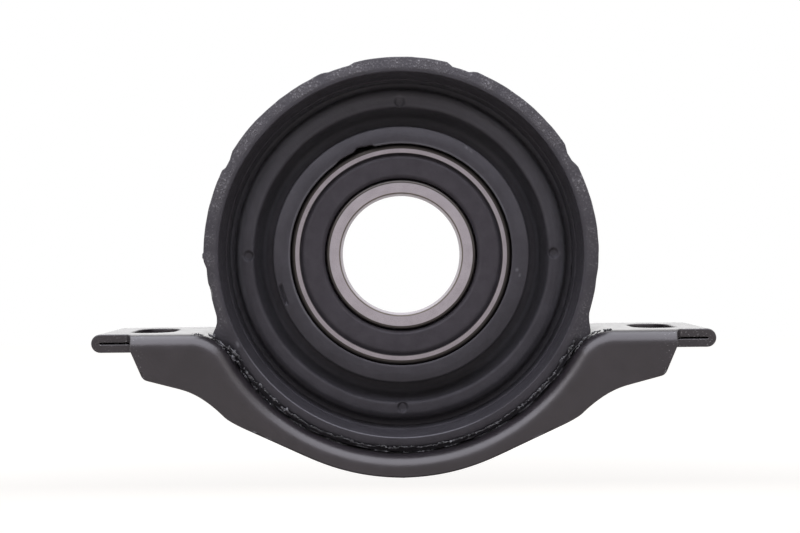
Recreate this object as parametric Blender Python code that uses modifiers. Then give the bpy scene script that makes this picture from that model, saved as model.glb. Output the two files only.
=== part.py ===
"""Driveshaft centre bearing: a sealed ball bearing in a rubber mount, held by a pressed-steel bracket.

The bracket is bolted up under a vehicle's floor through the slots in its two ears. The shaft runs along Y,
the front of the bearing faces -Y and +Z points up to the floor. The origin lies on the ears' upper plane,
midway between the two bolt slots. Sizes are in metres.
"""

import math

import bmesh
import bpy
import numpy as np

# Ball bearing
BORE_DIAMETER = 0.025
BEARING_DIAMETER = 0.047
BEARING_WIDTH = 0.012
BALL_COUNT = 10
BALL_FILL = 0.5773
BALL_CLEARANCE = 0.00015
RACE_CONFORMITY = 0.52
SHOULDER_HEIGHT = 0.0013
BORE_CORNER = 0.0005
RING_CORNER = 0.0010
RING_CORNER_REACH = 0.0016

# Seals, snapped into the outer ring
SEAL_RECESS = 0.00045
SEAL_THICKNESS = 0.0009
SEAL_LAND_DROP = 0.00058
SEAL_SEAT_DEPTH = 0.0008
SEAL_GROOVE_DEPTH = 0.0006
SEAL_LIP_GAP = 0.0003
SEAL_FIT_GAP = 0.00015
SEAL_LIP_BEVEL = 0.0005

# Riveted ball cage
CAGE_SHEET = 0.0006
CAGE_WIDTH = 0.0020
CAGE_CLEARANCE = 0.00015
CAGE_JOINT_GAP = 0.0002
CAGE_SEAL_GAP = 0.0003
CAGE_WALL_ANGLE = math.radians(70)
RIVET_RADIUS = 0.0004
RIVET_HEAD_RADIUS = 0.00085
RIVET_HEAD_HEIGHT = 0.00035
RIVET_GAP = 0.0001

# Steel sleeve round the bearing
FIT_GAP = 0.00015
SLEEVE_WALL = 0.0010
SLEEVE_LIP_REACH = 0.0019
SLEEVE_LIP_THICKNESS = 0.0010

# Rubber mount
COLLAR_WALL = 0.0014
COLLAR_LIP_REACH = 0.00075
COLLAR_LIP_THICKNESS = 0.0013
COLLAR_DRAFT = 0.0004
CREST_WIDTH = 0.0023
CREST_ROUND = 0.0009
CREST_FRONT = -0.0052
TROUGH_FRONT = 0.0010
DIAPHRAGM_WALL = 0.0032
REAR_GROOVE_DEPTH = 0.0014
REAR_GROOVE_WIDTH = 0.0036
EDGE_ROUND = 0.0004
RUBBER_RADIUS = 0.0398
RUBBER_WIDTH = 0.0252
RIM_WALL = 0.0031
DIMPLE_DIAMETER = 0.0018
DIMPLE_DEPTH = 0.0008
DIMPLE_COUNT = 4
FOOT_REACH = 0.0038
FOOT_HEIGHT = 0.0042
FOOT_INSET = 0.0003
FOOT_ROOT = math.radians(3)

# Pressed bracket
SHAFT_HEIGHT = 0.0155
SHEET = 0.0017
BRACKET_DEPTH = 0.032
BEND_RADIUS = 0.0029
CRADLE_GAP = 0.0002
SHOULDER_RADIUS = 0.009
LIP_DEPTH = 0.0043
LIP_ANGLE = math.radians(26)
KNEE_DEPTH = 0.0077
KNEE_ANGLE = math.radians(46.5)
FLANGE_DEPTH = 0.0109
FLANGE_END_DEPTH = 0.0089
FLANGE_CURVE_START = 0.0078
FLANGE_LOWER_END = 0.0002
FLANGE_UPPER_END = 0.0024

# Ears and bolt slots
SLOT_SPACING = 0.104
SLOT_WIDTH = 0.009
SLOT_LENGTH = 0.016
EAR_BEYOND_SLOT = 0.0112
EAR_WIDTH = 0.0245
HEM_GAP = 0.0003
HEM_BEYOND_SLOT = 0.0015
EAR_OVERLAP = 0.0012

# Facets
RING_STEPS = 36
RUBBER_STEPS = 36
RACE_STEPS = 4
CORNER_STEPS = 2
SCOOP_STEPS = 5
BALL_SUBDIVISIONS = 2
CAGE_CAP_STEPS = 2
RIVET_STEPS = 6
DIMPLE_STEPS = 8
SLOT_STEPS = 8
BEND_STEPS = 3
HEM_STEPS = 6
HEM_INNER_STEPS = 2
FOOT_STEPS = 4
LIP_STEPS = 4
KNEE_STEPS = 3
CRADLE_STEPS = 2
SHOULDER_STEPS = 5
EAR_STEPS = 2
MERGE_DISTANCE = 0.00001
BREAK_THROUGH = 0.001

# Worked out from the sizes above
BORE_RADIUS = BORE_DIAMETER / 2
BEARING_RADIUS = BEARING_DIAMETER / 2
HALF_WIDTH = BEARING_WIDTH / 2
PITCH_RADIUS = (BORE_RADIUS + BEARING_RADIUS) / 2
CAGE_ROOM = 2 * (SEAL_RECESS + SEAL_THICKNESS + CAGE_SEAL_GAP + CAGE_SHEET + CAGE_CLEARANCE)
BALL_RADIUS = min(BALL_FILL * (BEARING_RADIUS - BORE_RADIUS), BEARING_WIDTH - CAGE_ROOM) / 2
RACE_RADIUS = 2 * RACE_CONFORMITY * BALL_RADIUS
INNER_RACE = PITCH_RADIUS - BALL_RADIUS - BALL_CLEARANCE
OUTER_RACE = PITCH_RADIUS + BALL_RADIUS + BALL_CLEARANCE
INNER_SHOULDER = INNER_RACE + SHOULDER_HEIGHT
OUTER_SHOULDER = OUTER_RACE - SHOULDER_HEIGHT
SEAL_LAND = INNER_SHOULDER - SEAL_LAND_DROP
SEAL_SEAT = OUTER_SHOULDER + SEAL_SEAT_DEPTH
SEAL_GROOVE = SEAL_SEAT + SEAL_GROOVE_DEPTH
SEAL_OUTER_FACE = HALF_WIDTH - SEAL_RECESS
SEAL_INNER_FACE = SEAL_OUTER_FACE - SEAL_THICKNESS
SLEEVE_BORE = BEARING_RADIUS + FIT_GAP
SLEEVE_RADIUS = SLEEVE_BORE + SLEEVE_WALL
COLLAR_BORE = SLEEVE_RADIUS + FIT_GAP
COLLAR_RADIUS = COLLAR_BORE + COLLAR_WALL
RIM_BORE = RUBBER_RADIUS - RIM_WALL
CREST_RADIUS = (COLLAR_RADIUS + RIM_BORE) / 2
CRADLE_RADIUS = RUBBER_RADIUS + CRADLE_GAP
SLOT_X = SLOT_SPACING / 2
EAR_X = SLOT_X + EAR_BEYOND_SLOT

# Where the round cradle runs into the outward bend of the shoulder
CRADLE_ANGLE = math.acos((SHAFT_HEIGHT + SHOULDER_RADIUS) / (CRADLE_RADIUS + SHOULDER_RADIUS))
SHOULDER_X = (CRADLE_RADIUS + SHOULDER_RADIUS) * math.sin(CRADLE_ANGLE)

# The turned pieces stand on local Z, which this turn lays along world +Y.
SHAFT_CENTRE = (0, 0, SHAFT_HEIGHT)
ALONG_SHAFT = (-math.pi / 2, 0, 0)


def clear_scene():
    for obj in list(bpy.data.objects):
        bpy.data.objects.remove(obj, do_unlink=True)


def make_collection(name):
    collection = bpy.data.collections.new(name)
    bpy.context.scene.collection.children.link(collection)
    return collection


def make_material(name, colour, roughness, metallic):
    material = bpy.data.materials.new(name)
    material.use_nodes = True
    shader = material.node_tree.nodes["Principled BSDF"]
    shader.inputs["Base Color"].default_value = (*colour, 1)
    shader.inputs["Roughness"].default_value = roughness
    shader.inputs["Metallic"].default_value = metallic
    return material


def add_object(name, mesh, collection, material=None, location=(0, 0, 0), rotation=(0, 0, 0), parent=None):
    obj = bpy.data.objects.new(name, mesh)
    obj.location = location
    obj.rotation_euler = rotation
    obj.parent = parent
    collection.objects.link(obj)
    if material is not None and not mesh.materials:
        mesh.materials.append(material)
    return obj


def add_empty(name, location, collection):
    empty = bpy.data.objects.new(name, None)
    empty.location = location
    collection.objects.link(empty)
    return empty


def as_cutter(obj):
    obj.hide_render = True
    obj.display_type = "WIRE"
    return obj


def clockwise(profile):
    """The profile with its outer side running down, which makes a turned face point outwards."""
    points = np.array(profile)
    after = np.roll(points, -1, axis=0)
    area = (points[:, 0] * after[:, 1] - after[:, 0] * points[:, 1]).sum()
    return points[::-1] if area > 0 else points


def turned(name, profile, steps, collection, material, closed=True, **placing):
    """A solid of revolution: the (radius, height) profile carried round local Z by a Screw modifier."""
    points = clockwise(profile) if closed else np.array(profile)
    count = len(points)
    edges = [(i, i + 1) for i in range(count - 1)]
    if closed:
        edges.append((count - 1, 0))
    mesh = bpy.data.meshes.new(name)
    mesh.from_pydata([(r, 0, z) for r, z in points], edges, [])
    obj = add_object(name, mesh, collection, material, **placing)
    screw = obj.modifiers.new("Turn", "SCREW")
    screw.steps = steps
    screw.render_steps = steps
    screw.use_merge_vertices = True
    screw.merge_threshold = MERGE_DISTANCE
    return obj


def prism(name, outline, travel, collection):
    """A flat outline of 3D points, made solid by carrying it along the travel vector."""
    bm = bmesh.new()
    face = bm.faces.new([bm.verts.new(point) for point in outline])
    extruded = bmesh.ops.extrude_face_region(bm, geom=[face])["geom"]
    moved = [item for item in extruded if isinstance(item, bmesh.types.BMVert)]
    bmesh.ops.translate(bm, verts=moved, vec=travel)
    bmesh.ops.recalc_face_normals(bm, faces=bm.faces)
    mesh = bpy.data.meshes.new(name)
    bm.to_mesh(mesh)
    bm.free()
    return as_cutter(add_object(name, mesh, collection))


def combine(obj, other, operation):
    boolean = obj.modifiers.new(other.name, "BOOLEAN")
    boolean.operation = operation
    boolean.solver = "EXACT"
    boolean.object = other


def between(start, end, steps):
    """Evenly spaced points from start to end, without the start."""
    shares = np.linspace(0, 1, steps + 1)[1:, None]
    return list((1 - shares) * np.array(start) + shares * np.array(end))


def curved_between(start, control, end, steps):
    """Points on the quadratic curve from start to end that leans to control, without the start."""
    shares = np.linspace(0, 1, steps + 1)[1:, None]
    towards = (1 - shares) ** 2 * np.array(start) + 2 * shares * (1 - shares) * np.array(control)
    return list(towards + shares**2 * np.array(end))


def race_arc(centre, side):
    """The ball groove in section: an arc about the ball's pitch line from one shoulder to the other."""
    depth = abs(centre - (INNER_SHOULDER if side < 0 else OUTER_SHOULDER))
    reach = math.acos(depth / RACE_RADIUS)
    angles = np.linspace(-reach, reach, RACE_STEPS + 1)
    return [(centre + side * RACE_RADIUS * math.cos(a), RACE_RADIUS * math.sin(a)) for a in angles]


def make_outer_ring(collection, steel):
    """Outer ring: plain outside, a ball groove inside and a stepped seat for a seal at each end.

    Each corner of its outside is rounded, and the curve reaches further in over the face than along the ring.
    """
    groove_outer = SEAL_OUTER_FACE - SEAL_FIT_GAP
    groove_inner = SEAL_INNER_FACE - SEAL_FIT_GAP
    face_end = (BEARING_RADIUS - RING_CORNER_REACH, -HALF_WIDTH)
    side_end = (BEARING_RADIUS, -HALF_WIDTH + RING_CORNER)
    front = [
        (OUTER_SHOULDER, -groove_inner),
        (SEAL_GROOVE, -groove_inner),
        (SEAL_GROOVE, -groove_outer),
        (SEAL_SEAT, -groove_outer),
        (SEAL_SEAT, -HALF_WIDTH),
        face_end,
    ]
    front += curved_between(face_end, (BEARING_RADIUS, -HALF_WIDTH), side_end, CORNER_STEPS)
    rear = [(r, -y) for r, y in reversed(front)]
    race = race_arc(OUTER_RACE - RACE_RADIUS, 1)
    profile = front + rear + race[::-1]
    return turned(
        "outer_ring", profile, RING_STEPS, collection, steel, location=SHAFT_CENTRE, rotation=ALONG_SHAFT
    )


def make_inner_ring(collection, steel):
    """Inner ring, which turns with the shaft: plain bore, ball groove and a land under each seal lip."""
    front = [
        (BORE_RADIUS, -HALF_WIDTH + BORE_CORNER),
        (BORE_RADIUS + BORE_CORNER, -HALF_WIDTH),
        (SEAL_LAND - BORE_CORNER, -HALF_WIDTH),
        (SEAL_LAND, -HALF_WIDTH + BORE_CORNER),
        (SEAL_LAND, -SEAL_INNER_FACE),
        (INNER_SHOULDER, -SEAL_INNER_FACE + SEAL_LAND_DROP),
    ]
    rear = [(r, -y) for r, y in reversed(front)]
    race = race_arc(INNER_RACE + RACE_RADIUS, -1)
    profile = front + race + rear
    return turned(
        "inner_ring", profile, RING_STEPS, collection, steel, location=SHAFT_CENTRE, rotation=ALONG_SHAFT
    )


def make_seal(name, side, collection, rubber):
    """Seal washer: its bead sits in the outer ring's groove and its lip stands just off the inner ring."""
    lip = SEAL_LAND + SEAL_LIP_GAP
    bead = SEAL_GROOVE - SEAL_FIT_GAP
    seat = SEAL_SEAT - SEAL_FIT_GAP
    inner = SEAL_INNER_FACE
    outer = SEAL_OUTER_FACE
    step = SEAL_THICKNESS / 2
    neck = OUTER_SHOULDER - SEAL_FIT_GAP
    profile = [
        (lip, inner),
        (lip, inner + step),
        (lip + SEAL_LIP_BEVEL, outer),
        (neck, outer),
        (seat, inner + step),
        (bead, inner + step),
        (bead, inner),
    ]
    profile = [(r, side * y) for r, y in profile]
    return turned(
        name, profile, RING_STEPS, collection, rubber, location=SHAFT_CENTRE, rotation=ALONG_SHAFT
    )


def cage_path():
    """Half a cage pocket in section: (arc length, height) from the ball's top to the flat beside it."""
    middle = BALL_RADIUS + CAGE_CLEARANCE + CAGE_SHEET / 2
    floor = (CAGE_JOINT_GAP + CAGE_SHEET) / 2
    angles = np.linspace(0, CAGE_WALL_ANGLE, CAGE_CAP_STEPS + 1)
    cap = [(middle * math.sin(a), middle * math.cos(a)) for a in angles]
    start_s, start_h = cap[-1]
    wall_run = (start_h - floor) / math.tan(CAGE_WALL_ANGLE)
    return cap + [(start_s + wall_run, floor)]


def cage_stations():
    """(angle, height) round the whole cage: each pocket's path out and back, repeated for every ball."""
    half = cage_path()
    pocket = [(-s, h) for s, h in reversed(half[1:])] + half
    stations = []
    for ball in range(BALL_COUNT):
        centre = 2 * math.pi * ball / BALL_COUNT
        stations += [(centre + s / PITCH_RADIUS, h) for s, h in pocket]
    return stations


def make_cage_half(name, side, holes, collection, steel, parent):
    """One pressed cage half: a wavy ribbon given its sheet thickness, with its rivet holes cut through."""
    bm = bmesh.new()
    rows = []
    for angle, height in cage_stations():
        row = []
        for radius in (PITCH_RADIUS - CAGE_WIDTH / 2, PITCH_RADIUS + CAGE_WIDTH / 2):
            row.append(bm.verts.new((radius * math.cos(angle), radius * math.sin(angle), side * height)))
        rows.append(row)
    for row, after in zip(rows, rows[1:] + rows[:1]):
        bm.faces.new((row[0], row[1], after[1], after[0]))
    mesh = bpy.data.meshes.new(name)
    bm.to_mesh(mesh)
    bm.free()
    obj = add_object(name, mesh, collection, steel, rotation=ALONG_SHAFT, parent=parent)
    solidify = obj.modifiers.new("Sheet", "SOLIDIFY")
    solidify.thickness = CAGE_SHEET
    solidify.offset = 0
    solidify.use_even_offset = True
    combine(obj, holes, "DIFFERENCE")
    return obj


def rivet_places():
    """Centres of the rivets on the pitch circle, halfway between the balls, in the cage's own frame."""
    for index in range(BALL_COUNT):
        angle = 2 * math.pi * (index + 0.5) / BALL_COUNT
        yield PITCH_RADIUS * math.cos(angle), PITCH_RADIUS * math.sin(angle)


def make_rivet_holes(cutters, parent):
    bm = bmesh.new()
    for x, y in rivet_places():
        made = bmesh.ops.create_cone(
            bm,
            cap_ends=True,
            segments=RIVET_STEPS,
            radius1=RIVET_RADIUS + RIVET_GAP,
            radius2=RIVET_RADIUS + RIVET_GAP,
            depth=2 * (CAGE_SHEET + CAGE_JOINT_GAP + BREAK_THROUGH),
        )
        bmesh.ops.translate(bm, verts=made["verts"], vec=(x, y, 0))
    mesh = bpy.data.meshes.new("rivet_holes")
    bm.to_mesh(mesh)
    bm.free()
    return as_cutter(add_object("rivet_holes", mesh, cutters, rotation=ALONG_SHAFT, parent=parent))


def make_rivets(collection, steel, parent):
    """Rivets that hold the two cage halves together, one between each pair of balls."""
    under_head = CAGE_JOINT_GAP / 2 + CAGE_SHEET + RIVET_GAP
    top = under_head + RIVET_HEAD_HEIGHT
    half = [(0, top), (RIVET_HEAD_RADIUS, under_head), (RIVET_RADIUS, under_head)]
    profile = half + [(r, -z) for r, z in reversed(half)]
    for number, (x, y) in enumerate(rivet_places(), start=1):
        turned(
            f"cage_rivet_{number:02d}",
            profile,
            RIVET_STEPS,
            collection,
            steel,
            closed=False,
            location=(x, 0, -y),
            rotation=ALONG_SHAFT,
            parent=parent,
        )


def make_balls(collection, steel, parent):
    bm = bmesh.new()
    bmesh.ops.create_icosphere(bm, subdivisions=BALL_SUBDIVISIONS, radius=BALL_RADIUS)
    mesh = bpy.data.meshes.new("ball")
    bm.to_mesh(mesh)
    bm.free()
    for index in range(BALL_COUNT):
        angle = 2 * math.pi * index / BALL_COUNT
        place = (PITCH_RADIUS * math.cos(angle), 0, -PITCH_RADIUS * math.sin(angle))
        add_object(f"ball_{index + 1:02d}", mesh, collection, steel, location=place, parent=parent)


def make_sleeve(collection, metal):
    """Steel sleeve that the bearing is pressed into, with a lip turned in behind the outer ring."""
    front = -HALF_WIDTH
    stop = HALF_WIDTH + FIT_GAP
    lip = BEARING_RADIUS - SLEEVE_LIP_REACH
    profile = [
        (SLEEVE_BORE, front),
        (SLEEVE_RADIUS, front),
        (SLEEVE_RADIUS, stop + SLEEVE_LIP_THICKNESS / 2),
        (SLEEVE_RADIUS - SLEEVE_WALL / 2, stop + SLEEVE_LIP_THICKNESS),
        (lip, stop + SLEEVE_LIP_THICKNESS),
        (lip, stop),
        (SLEEVE_BORE, stop),
    ]
    placing = {"location": SHAFT_CENTRE, "rotation": ALONG_SHAFT}
    return turned("bearing_sleeve", profile, RING_STEPS, collection, metal, **placing)


def scoop(start, end, floor):
    """A U-shaped channel between two (radius, depth) edges, steep at its walls and round at its floor.

    The radius follows a cosine, and the depth the square root of a sine.
    """
    points = []
    for t in np.linspace(0, math.pi, SCOOP_STEPS + 1)[1:-1]:
        across = (1 - math.cos(t)) / 2
        radius = start[0] + (end[0] - start[0]) * across
        edge = start[1] + (end[1] - start[1]) * across
        points.append((radius, edge + (floor - edge) * math.sqrt(math.sin(t))))
    return points


def rubber_profile():
    """The rubber in section: collar front, troughs and crest, rim, rear face and collar bore."""
    lip = BEARING_RADIUS - COLLAR_LIP_REACH
    pocket_front = -HALF_WIDTH - FIT_GAP
    collar_front = pocket_front - COLLAR_LIP_THICKNESS
    pocket_back = HALF_WIDTH + FIT_GAP + SLEEVE_LIP_THICKNESS + FIT_GAP
    collar_back = pocket_back + COLLAR_LIP_THICKNESS
    foot = COLLAR_RADIUS + COLLAR_DRAFT
    crest_in = CREST_RADIUS - CREST_WIDTH / 2
    crest_out = CREST_RADIUS + CREST_WIDTH / 2
    rim_face = RUBBER_WIDTH / 2
    back = TROUGH_FRONT + DIAPHRAGM_WALL
    groove_in = CREST_RADIUS - REAR_GROOVE_WIDTH / 2
    groove_out = CREST_RADIUS + REAR_GROOVE_WIDTH / 2
    collar = [
        (lip, pocket_front),
        (lip, collar_front + EDGE_ROUND),
        (lip + EDGE_ROUND, collar_front),
        (COLLAR_RADIUS - EDGE_ROUND, collar_front),
        (COLLAR_RADIUS, collar_front + EDGE_ROUND),
    ]
    crest_root = CREST_FRONT + CREST_ROUND
    crest_flat = (crest_in + CREST_ROUND, CREST_FRONT), (crest_out - CREST_ROUND, CREST_FRONT)
    crest = [(crest_in, crest_root)]
    crest += curved_between(crest[0], (crest_in, CREST_FRONT), crest_flat[0], CORNER_STEPS)
    crest.append(crest_flat[1])
    crest += curved_between(crest_flat[1], (crest_out, CREST_FRONT), (crest_out, crest_root), CORNER_STEPS)
    rim = [
        (RIM_BORE, -rim_face + EDGE_ROUND),
        (RIM_BORE + EDGE_ROUND, -rim_face),
        (RUBBER_RADIUS - EDGE_ROUND, -rim_face),
        (RUBBER_RADIUS, -rim_face + EDGE_ROUND),
        (RUBBER_RADIUS, rim_face - EDGE_ROUND),
        (RUBBER_RADIUS - EDGE_ROUND, rim_face),
        (RIM_BORE + EDGE_ROUND, rim_face),
    ]
    rear = [
        (RIM_BORE, back + EDGE_ROUND),
        (RIM_BORE - 2 * EDGE_ROUND, back),
        (groove_out, back),
        (CREST_RADIUS, back - REAR_GROOVE_DEPTH),
        (groove_in, back),
        (foot + EDGE_ROUND, back),
        (foot, back + EDGE_ROUND),
        (COLLAR_RADIUS, collar_back - EDGE_ROUND),
        (COLLAR_RADIUS - EDGE_ROUND, collar_back),
        (lip, collar_back),
        (lip, pocket_back),
        (COLLAR_BORE, pocket_back),
        (COLLAR_BORE, pocket_front),
    ]
    inner_trough = scoop(collar[-1], crest[0], TROUGH_FRONT)
    outer_trough = scoop(crest[-1], rim[0], TROUGH_FRONT)
    return collar + inner_trough + crest + outer_trough + rim + rear


def make_dimples(cutters):
    """Small round marks left by the mould's pins on the crest of the diaphragm, at its four quarters."""
    bm = bmesh.new()
    for index in range(DIMPLE_COUNT):
        angle = 2 * math.pi * index / DIMPLE_COUNT
        made = bmesh.ops.create_cone(
            bm,
            cap_ends=True,
            segments=DIMPLE_STEPS,
            radius1=DIMPLE_DIAMETER / 2,
            radius2=DIMPLE_DIAMETER / 2,
            depth=2 * DIMPLE_DEPTH,
        )
        place = (CREST_RADIUS * math.cos(angle), CREST_RADIUS * math.sin(angle), CREST_FRONT)
        bmesh.ops.translate(bm, verts=made["verts"], vec=place)
    mesh = bpy.data.meshes.new("dimples")
    bm.to_mesh(mesh)
    bm.free()
    return as_cutter(add_object("dimples", mesh, cutters, location=SHAFT_CENTRE, rotation=ALONG_SHAFT))


def foot_outline():
    """Section of the rubber foot that fills the corner between the rim and the bracket's shoulder.

    It runs along the shoulder's bend to a thin tip, up in a hollow curve to the rim and back inside it.
    """
    bend = SHOULDER_RADIUS + CRADLE_GAP
    bend_centre_z = -SHOULDER_RADIUS
    root = CRADLE_ANGLE - FOOT_ROOT
    tip_x = RUBBER_RADIUS * math.sin(CRADLE_ANGLE) + FOOT_REACH
    tip_angle = math.asin(min((SHOULDER_X - tip_x) / bend, math.sin(CRADLE_ANGLE)))
    along = [
        (SHOULDER_X - bend * math.sin(a), bend_centre_z + bend * math.cos(a))
        for a in np.linspace(root, tip_angle, FOOT_STEPS + 1)
    ]
    tip = along[-1]
    inside = RUBBER_RADIUS - RIM_WALL / 2
    top_z = tip[1] + FOOT_HEIGHT
    rim_x = math.sqrt(RUBBER_RADIUS**2 - (top_z - SHAFT_HEIGHT) ** 2)
    control = (rim_x + EDGE_ROUND, tip[1] + EDGE_ROUND)
    hollow = []
    for t in np.linspace(0, 1, FOOT_STEPS + 1)[1:]:
        x = (1 - t) ** 2 * tip[0] + 2 * t * (1 - t) * control[0] + t**2 * (rim_x - EDGE_ROUND)
        z = (1 - t) ** 2 * tip[1] + 2 * t * (1 - t) * control[1] + t**2 * top_z
        hollow.append((x, z))
    top_angle = math.atan2(rim_x, SHAFT_HEIGHT - top_z)
    back = [
        (inside * math.sin(a), SHAFT_HEIGHT - inside * math.cos(a))
        for a in np.linspace(top_angle, root, FOOT_STEPS)
    ]
    return along + hollow + back


def make_rubber_mount(collection, cutters, rubber):
    """The moulded rubber: collar, folded diaphragm, outer rim and a foot on each shoulder."""
    obj = turned(
        "rubber_mount",
        rubber_profile(),
        RUBBER_STEPS,
        collection,
        rubber,
        location=SHAFT_CENTRE,
        rotation=ALONG_SHAFT,
    )
    half = RUBBER_WIDTH / 2 - FOOT_INSET
    for name, side in (("left_foot", -1), ("right_foot", 1)):
        outline = [(side * x, -half, z) for x, z in foot_outline()]
        combine(obj, prism(name, outline, (0, 2 * half, 0), cutters), "UNION")
    combine(obj, make_dimples(cutters), "DIFFERENCE")
    return obj


def web_path():
    """Right half of the bracket's upper face, seen from the front, as (x, z, slope) points.

    It runs from the lowest point round the cradle, over the shoulder and out along the flat ear. The second
    value gives the index of the points where the flange's lip, knee and shoulder end.
    """
    cradle = list(np.linspace(0, LIP_ANGLE, LIP_STEPS + 1))
    cradle += list(np.linspace(LIP_ANGLE, KNEE_ANGLE, KNEE_STEPS + 1)[1:])
    cradle += list(np.linspace(KNEE_ANGLE, CRADLE_ANGLE, CRADLE_STEPS + 1)[1:])
    path = [(CRADLE_RADIUS * math.sin(a), SHAFT_HEIGHT - CRADLE_RADIUS * math.cos(a), a) for a in cradle]
    for a in np.linspace(CRADLE_ANGLE, 0, SHOULDER_STEPS + 1)[1:]:
        path.append((SHOULDER_X - SHOULDER_RADIUS * math.sin(a), -SHOULDER_RADIUS * (1 - math.cos(a)), a))
    for x in np.linspace(SHOULDER_X, SLOT_X + FLANGE_UPPER_END, EAR_STEPS + 1)[1:]:
        path.append((x, 0, 0))
    knee_end = LIP_STEPS + KNEE_STEPS
    return path, (LIP_STEPS, knee_end, knee_end + CRADLE_STEPS + SHOULDER_STEPS)


def flange_edge():
    """Right half of the flange's lower edge, one (x, z) point for each point of the web's path.

    A narrow lip follows the cradle, deepens to a knee and runs in a hollow curve to the end under the slot.
    """
    path, (lip_end, knee_end, shoulder_end) = web_path()
    lip_radius = CRADLE_RADIUS + LIP_DEPTH
    knee_radius = CRADLE_RADIUS + KNEE_DEPTH
    lip = []
    for _, _, a in path[: lip_end + 1]:
        lip.append((lip_radius * math.sin(a), SHAFT_HEIGHT - lip_radius * math.cos(a)))
    knee = (knee_radius * math.sin(KNEE_ANGLE), SHAFT_HEIGHT - knee_radius * math.cos(KNEE_ANGLE))
    curve_end = (SLOT_X - FLANGE_CURVE_START, -FLANGE_DEPTH)
    corner = (SLOT_X - FLANGE_LOWER_END, -FLANGE_END_DEPTH)
    slope = (corner[1] - curve_end[1]) / (corner[0] - curve_end[0])
    rise = math.tan(KNEE_ANGLE)
    run = (curve_end[1] - knee[1] - slope * (curve_end[0] - knee[0])) / (rise - slope)
    control = (knee[0] + run, knee[1] + rise * run)
    edge = lip + between(lip[-1], knee, knee_end - lip_end)
    edge += curved_between(knee, control, curve_end, shoulder_end - knee_end)
    return edge + between(curve_end, corner, len(path) - 1 - shoulder_end)


def bracket_rows():
    """The channel's outer surface, a row across it for each point from the left ear to the right."""
    path, _ = web_path()
    half = BRACKET_DEPTH / 2
    flat = half - BEND_RADIUS
    rows = []
    for (x, z, slope), (edge_x, edge_z) in zip(path, flange_edge()):
        normal = (-math.sin(slope), math.cos(slope))
        front = [(edge_x, -half, edge_z)]
        for turn in np.linspace(math.pi / 2, 0, BEND_STEPS + 1):
            down = BEND_RADIUS * (1 - math.cos(turn))
            front.append((x - normal[0] * down, -flat - BEND_RADIUS * math.sin(turn), z - normal[1] * down))
        rows.append(front + [(px, -py, pz) for px, py, pz in reversed(front)])
    left = [[(-px, py, pz) for px, py, pz in row] for row in reversed(rows[1:])]
    return left + rows


def hem_outline():
    """The ear's outer end in section: the sheet runs out, folds back tightly and lies under the ear."""
    outer = SHEET + HEM_GAP / 2
    inner = HEM_GAP / 2
    centre_x = EAR_X - outer
    joint_x = SLOT_X + FLANGE_UPPER_END - EAR_OVERLAP
    tail_x = SLOT_X - SLOT_WIDTH / 2 - HEM_BEYOND_SLOT
    turns = np.linspace(math.pi / 2, -math.pi / 2, HEM_STEPS + 1)
    inner_turns = np.linspace(-math.pi / 2, math.pi / 2, HEM_INNER_STEPS + 1)
    outline = [(joint_x, 0)]
    outline += [(centre_x + outer * math.cos(a), -outer + outer * math.sin(a)) for a in turns]
    outline += [(tail_x, -2 * outer), (tail_x, -2 * outer + SHEET)]
    outline += [(centre_x + inner * math.cos(a), -outer + inner * math.sin(a)) for a in inner_turns]
    outline.append((joint_x, -SHEET))
    return outline


def slot_outline(side):
    """A bolt slot seen from above, long along the shaft, with round ends: (x, y) points."""
    radius = SLOT_WIDTH / 2
    straight = SLOT_LENGTH / 2 - radius
    points = []
    for start, end_y in ((0, straight), (math.pi, -straight)):
        for a in np.linspace(start, start + math.pi, SLOT_STEPS + 1):
            points.append((side * SLOT_X + radius * math.cos(a), end_y + radius * math.sin(a)))
    return points


def make_bracket(collection, cutters, paint):
    """Pressed-steel bracket: a cradle with a flange down each side and two ears hemmed underneath."""
    bm = bmesh.new()
    rows = [[bm.verts.new(point) for point in row] for row in bracket_rows()]
    for row, after in zip(rows, rows[1:]):
        for i in range(len(row) - 1):
            bm.faces.new((row[i], after[i], after[i + 1], row[i + 1]))
    mesh = bpy.data.meshes.new("bracket")
    bm.to_mesh(mesh)
    bm.free()
    obj = add_object("bracket", mesh, collection, paint)
    solidify = obj.modifiers.new("Sheet", "SOLIDIFY")
    solidify.thickness = SHEET
    solidify.offset = -1
    solidify.use_even_offset = True
    for name, side in (("left_hem", -1), ("right_hem", 1)):
        outline = [(side * x, -EAR_WIDTH / 2, z) for x, z in hem_outline()]
        combine(obj, prism(name, outline, (0, EAR_WIDTH, 0), cutters), "UNION")
    low = -2 * SHEET - HEM_GAP - BREAK_THROUGH
    for name, side in (("left_slot", -1), ("right_slot", 1)):
        outline = [(x, y, low) for x, y in slot_outline(side)]
        combine(obj, prism(name, outline, (0, 0, BREAK_THROUGH - low), cutters), "DIFFERENCE")
    return obj


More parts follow.
